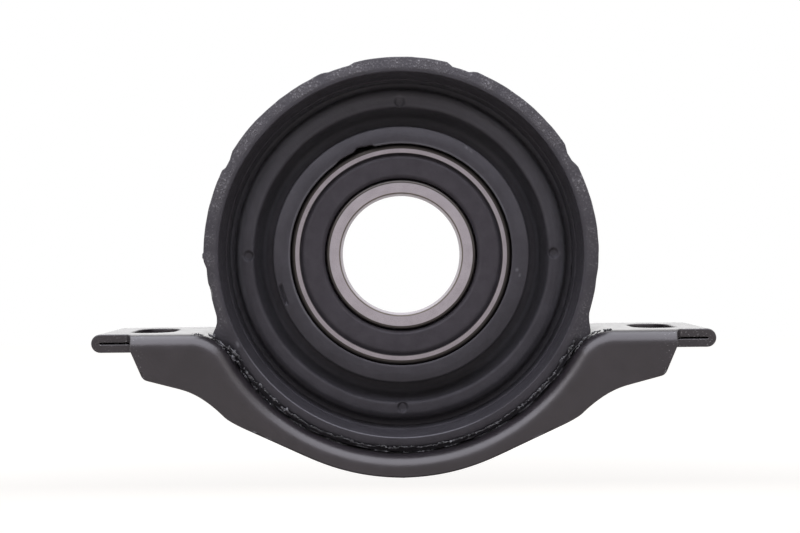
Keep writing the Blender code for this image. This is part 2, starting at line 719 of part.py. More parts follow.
def main():
    clear_scene()
    parts = make_collection("driveshaft_centre_bearing")
    cutters = make_collection("cutters")
    paint = make_material("black_paint", (0.055, 0.052, 0.060), 0.42, 0.0)
    rubber = make_material("black_rubber", (0.040, 0.038, 0.042), 0.60, 0.0)
    steel = make_material("ground_steel", (0.55, 0.54, 0.55), 0.28, 1.0)
    sleeve_steel = make_material("sleeve_steel", (0.22, 0.22, 0.23), 0.40, 1.0)
    cage_steel = make_material("cage_steel", (0.42, 0.41, 0.40), 0.35, 1.0)
    seal_rubber = make_material("seal_rubber", (0.050, 0.050, 0.052), 0.50, 0.0)
    make_bracket(parts, cutters, paint)
    make_rubber_mount(parts, cutters, rubber)
    make_sleeve(parts, sleeve_steel)
    make_outer_ring(parts, steel)
    make_inner_ring(parts, steel)
    make_seal("front_seal", -1, parts, seal_rubber)
    make_seal("rear_seal", 1, parts, seal_rubber)
    cage_axis = add_empty("cage_axis", SHAFT_CENTRE, parts)
    holes = make_rivet_holes(cutters, cage_axis)
    make_cage_half("cage_front", -1, holes, parts, cage_steel, cage_axis)
    make_cage_half("cage_rear", 1, holes, parts, cage_steel, cage_axis)
    make_rivets(parts, cage_steel, cage_axis)
    make_balls(parts, steel, cage_axis)


main()
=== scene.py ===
# %% [markdown]
# # A driveshaft centre bearing, from frame to finished look
# The part holds the middle of a split driveshaft: a sealed ball bearing, pressed into a folded rubber
# mount, which a pressed-steel bracket carries under the vehicle floor. Its solids come ready made, at
# their real size. This lesson rebuilds their surfaces finely with numpy, gives each one its finish, and
# lights them the way a plain product picture is lit.

import math

import bmesh
import bpy
import numpy as np
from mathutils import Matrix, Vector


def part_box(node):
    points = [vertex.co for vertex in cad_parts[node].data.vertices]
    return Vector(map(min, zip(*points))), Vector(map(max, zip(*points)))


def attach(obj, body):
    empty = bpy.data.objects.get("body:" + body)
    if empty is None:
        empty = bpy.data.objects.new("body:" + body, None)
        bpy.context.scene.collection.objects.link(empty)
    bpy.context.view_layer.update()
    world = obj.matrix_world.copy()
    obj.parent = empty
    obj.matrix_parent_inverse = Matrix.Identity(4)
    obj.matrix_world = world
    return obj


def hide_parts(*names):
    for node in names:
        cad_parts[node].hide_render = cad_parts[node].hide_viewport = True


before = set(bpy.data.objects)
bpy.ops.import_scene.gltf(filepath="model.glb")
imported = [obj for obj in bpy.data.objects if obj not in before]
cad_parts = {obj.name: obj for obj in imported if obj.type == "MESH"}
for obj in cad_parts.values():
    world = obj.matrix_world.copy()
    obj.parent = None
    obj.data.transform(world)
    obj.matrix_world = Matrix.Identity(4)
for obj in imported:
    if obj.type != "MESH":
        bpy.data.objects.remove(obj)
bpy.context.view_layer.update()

# %% [markdown]
# ## Sizes
# The frame already knows the real sizes, so the main radii are read from the boxes of its nodes. Every
# turned piece is centred on the shaft's axis, and half its width in X is its radius. What a box can't
# tell, such as the shape of a fold, is written once here, in metres.

# %% Sizes read from the frame
MM = 0.001


def outer_radius(node):
    """Half the width of a round node's box."""
    low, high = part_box(node)
    return (high.x - low.x) / 2


RUBBER_RADIUS = (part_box("rubber_mount")[1].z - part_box("rubber_mount")[0].z) / 2
SHAFT_HEIGHT = (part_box("rubber_mount")[1].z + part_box("rubber_mount")[0].z) / 2
BEARING_RADIUS = outer_radius("outer_ring")
HALF_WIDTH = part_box("outer_ring")[1].y
SLEEVE_RADIUS = outer_radius("bearing_sleeve")
HALF_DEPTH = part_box("bracket")[1].y
EAR_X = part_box("bracket")[1].x
print("shaft axis at", round(SHAFT_HEIGHT / MM, 2), "mm; rubber radius", round(RUBBER_RADIUS / MM, 2), "mm")

# %% [markdown]
# ## Camera
# The photograph looks exactly along the shaft: both rims of the bore show as circles with one centre. The
# far edge of the bore is a little smaller than the near one, which puts the lens 274 mm in front of the
# bearing. The bore isn't quite in the middle of the picture and the part is turned by about half a
# degree, so the camera gets a small shift and the same small roll.

# %% Camera
CAMERA_Y = -0.280
LENS = 60
SENSOR = 36
PICTURE_WIDTH = 800
PICTURE_HEIGHT = 533
BORE_PIXEL = (401.1, 254.4)
ROLL = math.radians(0.58)

camera_data = bpy.data.cameras.new("camera")
camera_data.lens = LENS
camera_data.sensor_width = SENSOR
camera_data.clip_start = 0.01
camera_data.shift_x = (PICTURE_WIDTH / 2 - BORE_PIXEL[0]) / PICTURE_WIDTH
camera_data.shift_y = (BORE_PIXEL[1] - PICTURE_HEIGHT / 2) / PICTURE_WIDTH
camera = bpy.data.objects.new("camera", camera_data)
camera.location = (0, CAMERA_Y, SHAFT_HEIGHT)
camera.rotation_euler = (math.pi / 2, ROLL, 0)
bpy.context.scene.collection.objects.link(camera)
bpy.context.scene.camera = camera
print("shift", round(camera_data.shift_x, 4), round(camera_data.shift_y, 4))

# %% [markdown]
# ## Light, floor and background
# The picture is a plain studio shot: a white surround, one broad light overhead and weaker ones at the
# sides. The surround is the world itself, white to the camera and to anything that reflects or lets light
# through, and a quieter grey for the light that falls on the part. The part hangs on its bolts, so the
# pale floor lies well below it and only catches a soft shadow.

# %% Node helper
def node(tree, kind, inputs=None, **settings):
    """Adds one shader node, sets its options, and links or fills its inputs."""
    made = tree.nodes.new("ShaderNode" + kind)
    for key, value in settings.items():
        setattr(made, key, value)
    for key, value in (inputs or {}).items():
        if isinstance(value, bpy.types.NodeSocket):
            tree.links.new(value, made.inputs[key])
        else:
            made.inputs[key].default_value = value
    return made


SEEING_RAYS = ("Camera", "Glossy", "Transmission")


def sees_background(tree):
    """1 for a camera, glossy or transmission ray, 0 for the light that falls on a surface."""
    path = node(tree, "LightPath")
    direct, glossy, through = (path.outputs[f"Is {ray} Ray"] for ray in SEEING_RAYS)
    mirror = node(tree, "Math", {0: glossy, 1: through}, operation="MAXIMUM")
    both = node(tree, "Math", {0: direct, 1: mirror.outputs[0]}, operation="MAXIMUM")
    return both.outputs[0]


# %% World
SURROUND_LIGHT = 0.32
SURROUND_COLOUR = (1, 0.985, 0.99, 1)

world = bpy.data.worlds.new("studio")
bpy.context.scene.world = world
world.use_nodes = True
tree = world.node_tree
tree.nodes.clear()
soft = node(tree, "Background", {"Color": SURROUND_COLOUR, "Strength": SURROUND_LIGHT})
white = node(tree, "Background", {"Color": (1, 1, 1, 1), "Strength": 1.0})
mixed = node(tree, "MixShader", {0: sees_background(tree), 1: soft.outputs[0], 2: white.outputs[0]})
node(tree, "OutputWorld", {"Surface": mixed.outputs[0]})
bpy.context.scene.view_settings.view_transform = "Standard"
print("surround: white to the camera, strength", SURROUND_LIGHT, "as light")

# %% [markdown]
# ### Floor
# A white floor has to look as bright as the surround and still darken under the part. So it is a matt
# surface lit by the lamps, plus a glow that only the camera and mirrors see. The lamps light its middle
# well and its far parts little, so the glow rises with the distance from the middle.

# %% Floor
FLOOR_Z = -0.2
FLOOR_HALF = 3.0
FLOOR_COLOUR = (0.635, 0.60, 0.555, 1)
NEAR_GLOW, FAR_GLOW = 0.08, 0.81
LIT_WELL, LIT_LITTLE = 0.45, 1.30

floor_mesh = bpy.data.meshes.new("floor")
corners = [(x * FLOOR_HALF, y * FLOOR_HALF, FLOOR_Z) for x, y in ((-1, -1), (1, -1), (1, 1), (-1, 1))]
floor_mesh.from_pydata(corners, [], [(0, 1, 2, 3)])
floor = bpy.data.objects.new("floor", floor_mesh)
bpy.context.scene.collection.objects.link(floor)
floor_paint = bpy.data.materials.new("pale_floor")
floor_paint.use_nodes = True
tree = floor_paint.node_tree
tree.nodes.clear()
floor_place = node(tree, "TexCoord").outputs["Object"]
reach = node(tree, "VectorMath", {0: floor_place}, operation="LENGTH").outputs["Value"]
fade_sockets = {"From Min": LIT_WELL, "From Max": LIT_LITTLE, "To Min": NEAR_GLOW, "To Max": FAR_GLOW}
fade = node(tree, "MapRange", {"Value": reach, **fade_sockets})
glow = node(tree, "Math", {0: sees_background(tree), 1: fade.outputs[0]}, operation="MULTIPLY")
lit = node(tree, "BsdfDiffuse", {"Color": FLOOR_COLOUR})
shine = node(tree, "Emission", {"Color": (1, 1, 1, 1), "Strength": glow.outputs[0]})
total = node(tree, "AddShader", {0: lit.outputs[0], 1: shine.outputs[0]})
node(tree, "OutputMaterial", {"Surface": total.outputs[0]})
floor_mesh.materials.append(floor_paint)
print("floor at", FLOOR_Z, "m, its glow rising from", NEAR_GLOW, "to", FAR_GLOW)

# %% [markdown]
# ### Lamps
# One broad, slightly blue square of light over the part does most of the work. Two weak ones in front at
# the sides open the shadows, and one behind lights the part's rear.

# %% Lamps
def soft_lamp(name, place, size, power, colour=(1, 1, 1), aim=(0, 0, SHAFT_HEIGHT)):
    """A square area lamp that faces its aim."""
    data = bpy.data.lights.new(name, "AREA")
    data.shape = "SQUARE"
    data.size = size
    data.energy = power
    data.color = colour
    lamp = bpy.data.objects.new(name, data)
    lamp.location = place
    direction = Vector(aim) - Vector(place)
    lamp.rotation_euler = direction.to_track_quat("-Z", "Y").to_euler()
    bpy.context.scene.collection.objects.link(lamp)


soft_lamp("overhead", (-0.03, -0.14, 0.56), 1.00, 12.2, colour=(0.86, 0.91, 1.0))
soft_lamp("front_left", (-0.60, -0.55, 0.35), 0.50, 1.0)
soft_lamp("front_right", (0.65, -0.50, 0.25), 0.50, 0.7)
soft_lamp("rear", (0.0, 0.80, 0.30), 0.80, 2.0)

# %% [markdown]
# ## Surfaces from arrays
# Nearly everything here is turned or swept, so each piece is a grid of points worked out in one go: one
# parameter runs round the section and the other along the sweep. A section is drawn with sharp corners
# first and each corner is then rounded by a small curve, as a turning tool or a mould leaves it.

# %% Sections
TINY = 1e-7


def rounded(corners, cuts, steps=5):
    """Rounds each corner of a closed outline by a quadratic curve.

    The curve starts and ends a cut's length before and after the corner and leans to the corner itself:
    (1-t)^2 start + 2t(1-t) corner + t^2 end.
    """
    corner = np.array(corners, float)
    cut = np.array(cuts, float)[:, None]
    to_last = np.roll(corner, 1, axis=0) - corner
    to_next = np.roll(corner, -1, axis=0) - corner
    start = corner + to_last / np.linalg.norm(to_last, axis=1)[:, None] * cut
    end = corner + to_next / np.linalg.norm(to_next, axis=1)[:, None] * cut
    t = np.linspace(0, 1, steps)[None, :, None]
    curve = (1 - t) ** 2 * start[:, None] + 2 * t * (1 - t) * corner[:, None] + t**2 * end[:, None]
    return without_doubles(curve.reshape(-1, corner.shape[1]))


def without_doubles(points, tiny=TINY):
    """Drops each point that lies on the one before it, also across the closing edge."""
    gap = np.linalg.norm(points - np.roll(points, 1, axis=0), axis=1)
    return points[gap > tiny]


square = rounded([(0, 0), (1, 0), (1, 1), (0, 1)], [0.2] * 4)
print("a square with rounded corners has", len(square), "points")


# %% Meshes
def grid_faces(rows, columns, close_rows=True, close_columns=True):
    """Four-sided faces of a grid of points that may close on itself either way.

    The point in row i and column j has the number i columns + j, and each face joins it to the next row and
    the next column.
    """
    row_starts = np.arange(rows if close_rows else rows - 1)
    column_starts = np.arange(columns if close_columns else columns - 1)
    i, j = np.meshgrid(row_starts, column_starts, indexing="ij")
    after_i, after_j = (i + 1) % rows, (j + 1) % columns
    corners = ((i, j), (after_i, j), (after_i, after_j), (i, after_j))
    return np.stack([row * columns + column for row, column in corners], -1).reshape(-1, 4)


print("a closed grid of 3 by 4 points has", len(grid_faces(3, 4)), "faces")


# %% Pieces
def new_piece(name, points, faces, sharp_degrees=40, closed=True):
    """A mesh object at the origin, its gentle edges shaded smooth and, if closed, its normals outwards."""
    mesh = bpy.data.meshes.new(name)
    mesh.from_pydata(np.asarray(points).reshape(-1, 3).tolist(), [], [list(f) for f in faces])
    bm = bmesh.new()
    bm.from_mesh(mesh)
    bmesh.ops.remove_doubles(bm, verts=bm.verts, dist=TINY)
    if closed:
        bmesh.ops.recalc_face_normals(bm, faces=bm.faces)
    open_edges = sum(not e.is_manifold for e in bm.edges)
    bm.to_mesh(mesh)
    bm.free()
    mesh.shade_smooth()
    mesh.set_sharp_from_angle(angle=math.radians(sharp_degrees))
    piece = bpy.data.objects.new(name, mesh)
    bpy.context.scene.collection.objects.link(piece)
    print(f"{name}: {len(mesh.polygons)} faces, {open_edges} open edges")
    return piece


def around_shaft(radius, along, angle):
    """Points at a radius and angle about the shaft: X = r cos a, Y = along, Z = axis height + r sin a."""
    radius, along, angle = np.broadcast_arrays(radius, along, angle)
    return np.stack([radius * np.cos(angle), along, SHAFT_HEIGHT + radius * np.sin(angle)], -1)


def turned_piece(name, profile, steps=240):
    """A solid of revolution: the closed (radius, along) profile carried round the shaft."""
    angle = np.linspace(0, 2 * np.pi, steps, endpoint=False)[:, None]
    points = around_shaft(profile[:, 0], profile[:, 1], angle)
    return new_piece(name, points, grid_faces(steps, len(profile)))


def finish_piece(piece, material, body, nodes):
    """Gives a piece its material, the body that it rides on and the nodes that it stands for."""
    piece.data.materials.append(material)
    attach(piece, body)
    if nodes:
        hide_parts(*nodes)
    return piece


# %% [markdown]
# ## Noise that closes on itself
# Moulded rubber and trimmed flash are never quite regular. A round piece needs an unevenness that meets
# itself after one turn, so it is a sum of cosine waves with whole numbers of turns, each with a random
# but seeded start. Higher waves are lower, which gives broad swells with finer ripples on them.

# %% Ring noise
PEAK_OVER_MEAN = 1.6


def ring_noise(angle, seed, first, last, fade=0.7):
    """Sum over whole numbers k from first to last of cos(k a + start_k) / k^fade, scaled to about -1 to 1."""
    draw = np.random.default_rng(seed)
    wave = np.arange(first, last + 1)
    start = draw.uniform(0, 2 * np.pi, len(wave))
    size = 1 / wave**fade
    angle = np.asarray(angle)
    total = (np.cos(angle[..., None] * wave + start) * size).sum(-1)
    return total / (PEAK_OVER_MEAN * math.sqrt((size**2).sum() / 2))


def smooth_step(x, low, high):
    """0 below low, 1 above high, and 3t^2 - 2t^3 in between."""
    t = np.clip((x - low) / (high - low), 0, 1)
    return t * t * (3 - 2 * t)


def bump(x, low, high, blend):
    """1 between low and high, falling to 0 over a blend's width outside them."""
    return smooth_step(x, low - blend, low) * (1 - smooth_step(x, high, high + blend))


one_turn = ring_noise(np.array([0, 2 * np.pi]), 1, 2, 9)
print("ring noise after one turn differs by", round(float(abs(one_turn[1] - one_turn[0])), 6))


# %% [markdown]
# ## Materials
# All finishes are built from a few parts: a position on the piece, the distance from the shaft's axis,
# and noise at a stated size. The black surfaces are very dark in themselves, and most of what the eye
# sees on them is the white room reflected in their skin, so roughness and fine bumps matter more than
# colour.

# %% Material helpers
def new_material(name, **sockets):
    """A Principled material with plain values on its sockets, and its tree and shader to build on."""
    material = bpy.data.materials.new(name)
    material.use_nodes = True
    shader = material.node_tree.nodes["Principled BSDF"]
    for key, value in sockets.items():
        shader.inputs[key.replace("_", " ")].default_value = value
    return material, material.node_tree, shader


def shaft_centred(tree):
    """Object coordinates moved so that the shaft's axis is their Y axis."""
    place = node(tree, "TexCoord").outputs["Object"]
    return node(tree, "Mapping", {"Vector": place, "Location": (0, 0, -SHAFT_HEIGHT)}).outputs[0]


def math_node(tree, operation, first, second=0.0):
    """One step of arithmetic between two sockets or plain numbers."""
    return node(tree, "Math", {0: first, 1: second}, operation=operation).outputs[0]


def shaft_radius(tree, place):
    """Distance from the shaft's axis."""
    flat = node(tree, "VectorMath", {0: place, 1: (1, 0, 1)}, operation="MULTIPLY").outputs[0]
    return node(tree, "VectorMath", {0: flat}, operation="LENGTH").outputs["Value"]


def noise(tree, place, size, detail=3.0, rough=0.5, low=0.0, high=1.0):
    """Noise with features of about size metres, stretched so that 0.35 to 0.65 spans low to high."""
    made = node(tree, "TexNoise", {"Vector": place, "Scale": 1 / size, "Detail": detail, "Roughness": rough})
    return spread(tree, made.outputs["Fac"], 0.35, 0.65, low, high)


def grit_noise(tree, place, size, detail):
    """Noise with features of about size metres, not stretched."""
    return node(tree, "TexNoise", {"Vector": place, "Scale": 1 / size, "Detail": detail}).outputs["Fac"]


def spread(tree, value, from_low, from_high, low=0.0, high=1.0):
    """A value's range mapped to another, held at both ends."""
    sockets = {"Value": value, "From Min": from_low, "From Max": from_high, "To Min": low, "To Max": high}
    return node(tree, "MapRange", sockets).outputs[0]


def mixed_colour(tree, share, first, second):
    """A blend of two colours, each a socket or a plain (r, g, b). Inputs 6 and 7 are the node's colours."""
    made = tree.nodes.new("ShaderNodeMix")
    made.data_type = "RGBA"
    tree.links.new(share, made.inputs["Factor"])
    for key, value in ((6, first), (7, second)):
        if isinstance(value, bpy.types.NodeSocket):
            tree.links.new(value, made.inputs[key])
        else:
            made.inputs[key].default_value = (*value, 1)
    return made.outputs[2]


def coloured(tree, shader, colour, roughness):
    """Links a colour and a roughness into the shader."""
    tree.links.new(colour, shader.inputs["Base Color"])
    tree.links.new(roughness, shader.inputs["Roughness"])


def bumped(tree, shader, layers):
    """Chains bump nodes, one for each (height, depth in metres) layer, into the shader's normal."""
    normal = None
    for height, depth in layers:
        sockets = {"Height": height, "Distance": depth, "Strength": 1.0}
        if normal is not None:
            sockets["Normal"] = normal
        normal = node(tree, "Bump", sockets).outputs[0]
    tree.links.new(normal, shader.inputs["Normal"])


def attribute(tree, name):
    """The number stored under this name on the mesh's vertices."""
    return node(tree, "Attribute", attribute_name=name).outputs["Fac"]


def give_attribute(piece, name, values):
    """Stores one number for each vertex, which a material reads by its name."""
    made = piece.data.attributes.new(name, "FLOAT", "POINT")
    made.data.foreach_set("value", np.asarray(values, np.float32).ravel())


def positions(piece):
    """All vertex positions of a piece as an array."""
    flat = np.empty(len(piece.data.vertices) * 3, np.float32)
    piece.data.vertices.foreach_get("co", flat)
    return flat.reshape(-1, 3).astype(float)


# %% [markdown]
# ### Bearing steel
# The rings are hardened and ground, so their end faces are bright with fine marks that run round the
# shaft, and the bore is duller. Their rounded corners are painted dark: painted shade in place of the
# darker surroundings that they reflect. The marks are noise along the radius alone, and the corners are
# found by their distance from the end face.

# %% Bearing steel
RINGS_PER_METRE = 14000


def ground_steel():
    """Bright faces, corners in painted shade and a duller bore by place, and marks from noise along the
    radius.
    """
    material, tree, shader = new_material("ground_bearing_steel", Metallic=1.0, Roughness=0.3)
    place = shaft_centred(tree)
    radius = shaft_radius(tree, place)
    rings = {"W": math_node(tree, "MULTIPLY", radius, RINGS_PER_METRE), "Detail": 4.0}
    marks = node(tree, "TexNoise", rings, noise_dimensions="1D").outputs["Fac"]
    along = node(tree, "SeparateXYZ", {0: place}).outputs["Y"]
    end_distance = math_node(tree, "SUBTRACT", HALF_WIDTH, math_node(tree, "ABSOLUTE", along))
    off_face = spread(tree, end_distance, 0.001 * MM, 0.004 * MM)
    near_face = spread(tree, end_distance, 1.3 * MM, 0.5 * MM)
    corner = math_node(tree, "MULTIPLY", off_face, near_face)
    cloud = noise(tree, place, 3 * MM, 3.0, 0.6)
    inner = mixed_colour(tree, cloud, (0.315, 0.280, 0.305), (0.370, 0.332, 0.360))
    outer = mixed_colour(tree, cloud, (0.245, 0.215, 0.235), (0.290, 0.256, 0.278))
    face = mixed_colour(tree, spread(tree, radius, 16 * MM, 18 * MM), inner, outer)
    face = mixed_colour(tree, spread(tree, marks, 0.35, 0.7, 0, 0.5), face, (0.22, 0.195, 0.21))
    from_bore = spread(tree, radius, 13.5 * MM, 14.5 * MM)
    # Painted shade: the corners' dark colour, browner near the bore, stands in for the dim reflections there.
    dark = mixed_colour(tree, from_bore, (0.130, 0.110, 0.098), (0.050, 0.044, 0.042))
    in_bore = spread(tree, radius, 12.75 * MM, 12.65 * MM, 0, 0.30)
    roughness = math_node(tree, "ADD", spread(tree, marks, 0.3, 0.7, 0.26, 0.40), in_bore)
    coloured(tree, shader, mixed_colour(tree, corner, face, dark), roughness)
    bumped(tree, shader, [(marks, 0.006 * MM)])
    return material

# %% [markdown]
# ### Plain steels
# The sleeve is drawn from dark sheet, the cage is pressed from bright strip and the balls are polished.
# All three are metal with a little cloudiness, and differ in colour, gloss and grain.

# %% Plain steels
def plain_steel(name, dark, bright, gloss, grain, depth):
    """Metal between two colours and two roughnesses, clouded and bumped by noise of the grain's size."""
    material, tree, shader = new_material(name, Metallic=1.0)
    place = shaft_centred(tree)
    cloud = noise(tree, place, grain, 4.0, 0.6)
    roughness = noise(tree, place, grain / 3, 3.0, 0.5, *gloss)
    coloured(tree, shader, mixed_colour(tree, cloud, dark, bright), roughness)
    bumped(tree, shader, [(cloud, depth)])
    return material

# %% [markdown]
# ### Rubber
# Moulded rubber is a deep grey-black with a satin skin. Under the skin's even sheen it is slightly
# mottled, and where the flash has been trimmed the cut surface is torn and catches the light in small
# specks. The torn places come from a number stored on the mesh, so they follow the rim. A second stored
# number paints light and shade into the colour: above 0 it makes the skin paler as painted light on
# folds and edges, below 0 darker as painted shade where a fold sees little light. A few pale flecks are
# stored in it too.

# %% Rubber
RUBBER_SHEEN = (1.0, 0.93, 1.0, 1)


def moulded_rubber():
    """A mottled skin, paled or darkened by the stored painted light and shade, and rough and specked where it
    is torn.
    """
    sheen = {"Specular_IOR_Level": 0.18, "Specular_Tint": RUBBER_SHEEN}
    material, tree, shader = new_material("moulded_rubber", **sheen)
    place = shaft_centred(tree)
    torn = attribute(tree, "torn")
    painted_shading_and_flecks = attribute(tree, "painted_shading_and_flecks")
    mottle = noise(tree, place, 5 * MM, 4.0, 0.6)
    fine = noise(tree, place, 0.5 * MM, 2.0, 0.6)
    patches = noise(tree, place, 1.3 * MM, 3.0, 0.6)
    grit = grit_noise(tree, place, 0.42 * MM, 3.0)
    outer_half = spread(tree, shaft_radius(tree, place), 37.2 * MM, 38.9 * MM, 0.45, 1.0)
    specked = math_node(tree, "MULTIPLY", torn, outer_half)
    speck = math_node(tree, "MULTIPLY", spread(tree, grit, 0.55, 0.70), specked)
    skin = mixed_colour(tree, mottle, (0.0320, 0.0292, 0.0335), (0.0410, 0.0375, 0.0430))
    skin = mixed_colour(tree, spread(tree, patches, 0, 1, 0, 0.35), skin, (0.0270, 0.0248, 0.0285))
    # Painted shade: where the stored number is below 0 the skin turns darker.
    skin = mixed_colour(tree, spread(tree, painted_shading_and_flecks, 0, -1), skin, (0.005, 0.0047, 0.0053))
    # Painted light: where it is above 0 the skin turns paler, and the pale flecks come in the same way.
    colour = mixed_colour(tree, spread(tree, painted_shading_and_flecks, 0, 1), skin, (0.100, 0.095, 0.105))
    colour = mixed_colour(tree, torn, colour, (0.058, 0.053, 0.0575))
    colour = mixed_colour(tree, speck, colour, (0.19, 0.178, 0.186))
    satin = noise(tree, place, 2 * MM, 3.0, 0.6, 0.44, 0.56)
    roughness = math_node(tree, "ADD", satin, math_node(tree, "MULTIPLY", torn, 0.06))
    coloured(tree, shader, colour, roughness)
    rough_height = math_node(tree, "MULTIPLY", grit, torn)
    bumped(tree, shader, [(fine, 0.006 * MM), (patches, 0.03 * MM), (rough_height, 0.24 * MM)])
    return material

# %% [markdown]
# ### Bracket paint
# The bracket is dipped in black paint that follows the steel's fine grain. It is glossy enough to mirror
# the white room where the eye skims along it, as on top of the ears, and looks a little purple face on.
# Cut edges show specks where the paint is thin.

# %% Bracket paint
PAINT_SHEEN = (1.0, 0.93, 0.95, 1)


def dipped_paint():
    """Clouded black over the steel's grain, with specks where the stored wear is high."""
    sheen = {"Specular_IOR_Level": 0.57, "Specular_Tint": PAINT_SHEEN}
    material, tree, shader = new_material("dipped_black_paint", **sheen)
    place = shaft_centred(tree)
    worn = attribute(tree, "worn")
    cloud = noise(tree, place, 6 * MM, 4.0, 0.6)
    grain = noise(tree, place, 0.45 * MM, 3.0, 0.55)
    grit = grit_noise(tree, place, 0.38 * MM, 1.0)
    speck = math_node(tree, "MULTIPLY", spread(tree, grit, 0.66, 0.78), worn)
    coat = mixed_colour(tree, cloud, (0.0088, 0.0070, 0.0086), (0.0132, 0.0106, 0.0128))
    colour = mixed_colour(tree, speck, coat, (0.30, 0.28, 0.28))
    coloured(tree, shader, colour, noise(tree, place, 3 * MM, 4.0, 0.65, 0.28, 0.34))
    bumped(tree, shader, [(cloud, 0.02 * MM), (grain, 0.005 * MM)])
    return material

# %% All materials
steel = ground_steel()
sleeve_steel = plain_steel(
    "drawn_sleeve_steel", (0.10, 0.10, 0.105), (0.17, 0.168, 0.17), (0.35, 0.5), 1.5 * MM, 0.01 * MM
)
cage_steel = plain_steel(
    "pressed_cage_steel", (0.34, 0.33, 0.32), (0.46, 0.45, 0.44), (0.28, 0.42), 1.2 * MM, 0.008 * MM
)
ball_steel = plain_steel(
    "polished_ball_steel", (0.52, 0.52, 0.53), (0.60, 0.60, 0.61), (0.06, 0.12), 2.0 * MM, 0.001 * MM
)
rubber = moulded_rubber()
paint = dipped_paint()
print("materials:", len(bpy.data.materials))

# %% [markdown]
# ## The bearing rings
# Each ring is one turned section with a ball groove. The real rings have rounded corners, which show as
# the thin black lines between the bright faces, so the corners are drawn at their real size; their
# darkness is painted shade in the steel's colour.

# %% Ring sizes
BORE_RADIUS = 12.5 * MM
PITCH_RADIUS = 18 * MM
BALL_RADIUS = 3.175 * MM
BALL_CLEARANCE = 0.15 * MM
RACE_RADIUS = 3.302 * MM
INNER_SHOULDER = 15.975 * MM
OUTER_SHOULDER = 20.025 * MM
SEAL_LAND = 15.395 * MM
SEAL_SEAT = 20.825 * MM
SEAL_GROOVE = 21.425 * MM
SEAL_INNER_FACE = 4.65 * MM
GROOVE_INNER, GROOVE_OUTER = 4.5 * MM, 5.4 * MM
INNER_STEP = 4.07 * MM
OUTER_RACE = PITCH_RADIUS + BALL_RADIUS + BALL_CLEARANCE - RACE_RADIUS
INNER_RACE = PITCH_RADIUS - BALL_RADIUS - BALL_CLEARANCE + RACE_RADIUS


def race_arc(centre, shoulder, side, steps=17):
    """The ball groove: centre + side R cos a and R sin a, with a up to where the arc meets the shoulders."""
    reach = math.acos(abs(centre - shoulder) / RACE_RADIUS)
    a = np.linspace(-reach, reach, steps)
    return np.stack([centre + side * RACE_RADIUS * np.cos(a), RACE_RADIUS * np.sin(a)], 1)


def mirrored(front):
    """A front half section and its mirror image at the rear, as lists of (radius, along) and of cuts."""
    points = [(r, y) for r, y, _ in front]
    cuts = [c for _, _, c in front]
    return points, [(r, -y) for r, y in reversed(points)], cuts, cuts[::-1]


print("race centres at radius", round(INNER_RACE / MM, 3), "and", round(OUTER_RACE / MM, 3), "mm")


# %% Outer ring
front = [
    (OUTER_SHOULDER, -GROOVE_INNER, 0.1 * MM),
    (SEAL_GROOVE, -GROOVE_INNER, 0.1 * MM),
    (SEAL_GROOVE, -GROOVE_OUTER, 0.1 * MM),
    (SEAL_SEAT, -GROOVE_OUTER, 0.1 * MM),
    (SEAL_SEAT, -HALF_WIDTH, 0.12 * MM),
    (BEARING_RADIUS, -HALF_WIDTH, 1.77 * MM),
]
points, rear_points, cuts, rear_cuts = mirrored(front)
race = race_arc(OUTER_RACE, OUTER_SHOULDER, 1)[::-1]
profile = rounded(points + rear_points + race.tolist(), cuts + rear_cuts + [0.0] * len(race), steps=7)
outer_ring = turned_piece("ground_outer_ring", profile)
finish_piece(outer_ring, steel, "mount", ["outer_ring"])

# %% Inner ring
front = [
    (BORE_RADIUS, -HALF_WIDTH, 0.28 * MM),
    (SEAL_LAND, -HALF_WIDTH, 0.70 * MM),
    (SEAL_LAND, -SEAL_INNER_FACE, 0.1 * MM),
    (INNER_SHOULDER, -INNER_STEP, 0.15 * MM),
]
points, rear_points, cuts, rear_cuts = mirrored(front)
race = race_arc(INNER_RACE, INNER_SHOULDER, -1)
profile = rounded(points + race.tolist() + rear_points, cuts + [0.0] * len(race) + rear_cuts, steps=7)
inner_ring = turned_piece("ground_inner_ring", profile)
finish_piece(inner_ring, steel, "inner_ring", ["inner_ring"])

# %% [markdown]
# ## Seals and sleeve
# Each seal is a rubber washer moulded round a thin steel disc, so only rubber shows. Its bead sits in the
# outer ring's groove and its lip stops just off the inner ring. The sleeve is drawn from sheet: a plain
# tube with a lip turned in behind the bearing.

# %% Seals
def seal_profile(side):
    """The washer's section: bevelled lip, flat face, a step down to the bead, and a flat back."""
    corners = [
        (15.695, 4.65, 0.08),
        (15.695, 5.10, 0.12),
        (16.400, 5.55, 0.20),
        (19.875, 5.55, 0.35),
        (20.675, 5.10, 0.15),
        (21.275, 5.10, 0.12),
        (21.275, 4.65, 0.08),
    ]
    section = np.array(corners) * MM
    return rounded(section[:, :2] * (1, side), section[:, 2])


def seal_rubber():
    """The same kind of skin as the mount's, finer in its mottle and a little glossier."""
    sheen = {"Specular_IOR_Level": 0.22, "Specular_Tint": RUBBER_SHEEN}
    material, tree, shader = new_material("seal_rubber_skin", **sheen)
    place = shaft_centred(tree)
    mottle = noise(tree, place, 2.5 * MM, 4.0, 0.6)
    colour = mixed_colour(tree, mottle, (0.0270, 0.0235, 0.0278), (0.0350, 0.0307, 0.0358))
    coloured(tree, shader, colour, noise(tree, place, 0.8 * MM, 3.0, 0.6, 0.42, 0.54))
    bumped(tree, shader, [(noise(tree, place, 0.3 * MM, 2.0, 0.5), 0.006 * MM)])
    return material


seal_skin = seal_rubber()
for name, side in (("front_seal", -1), ("rear_seal", 1)):
    seal = turned_piece("moulded_" + name, seal_profile(side))
    finish_piece(seal, seal_skin, "mount", [name])

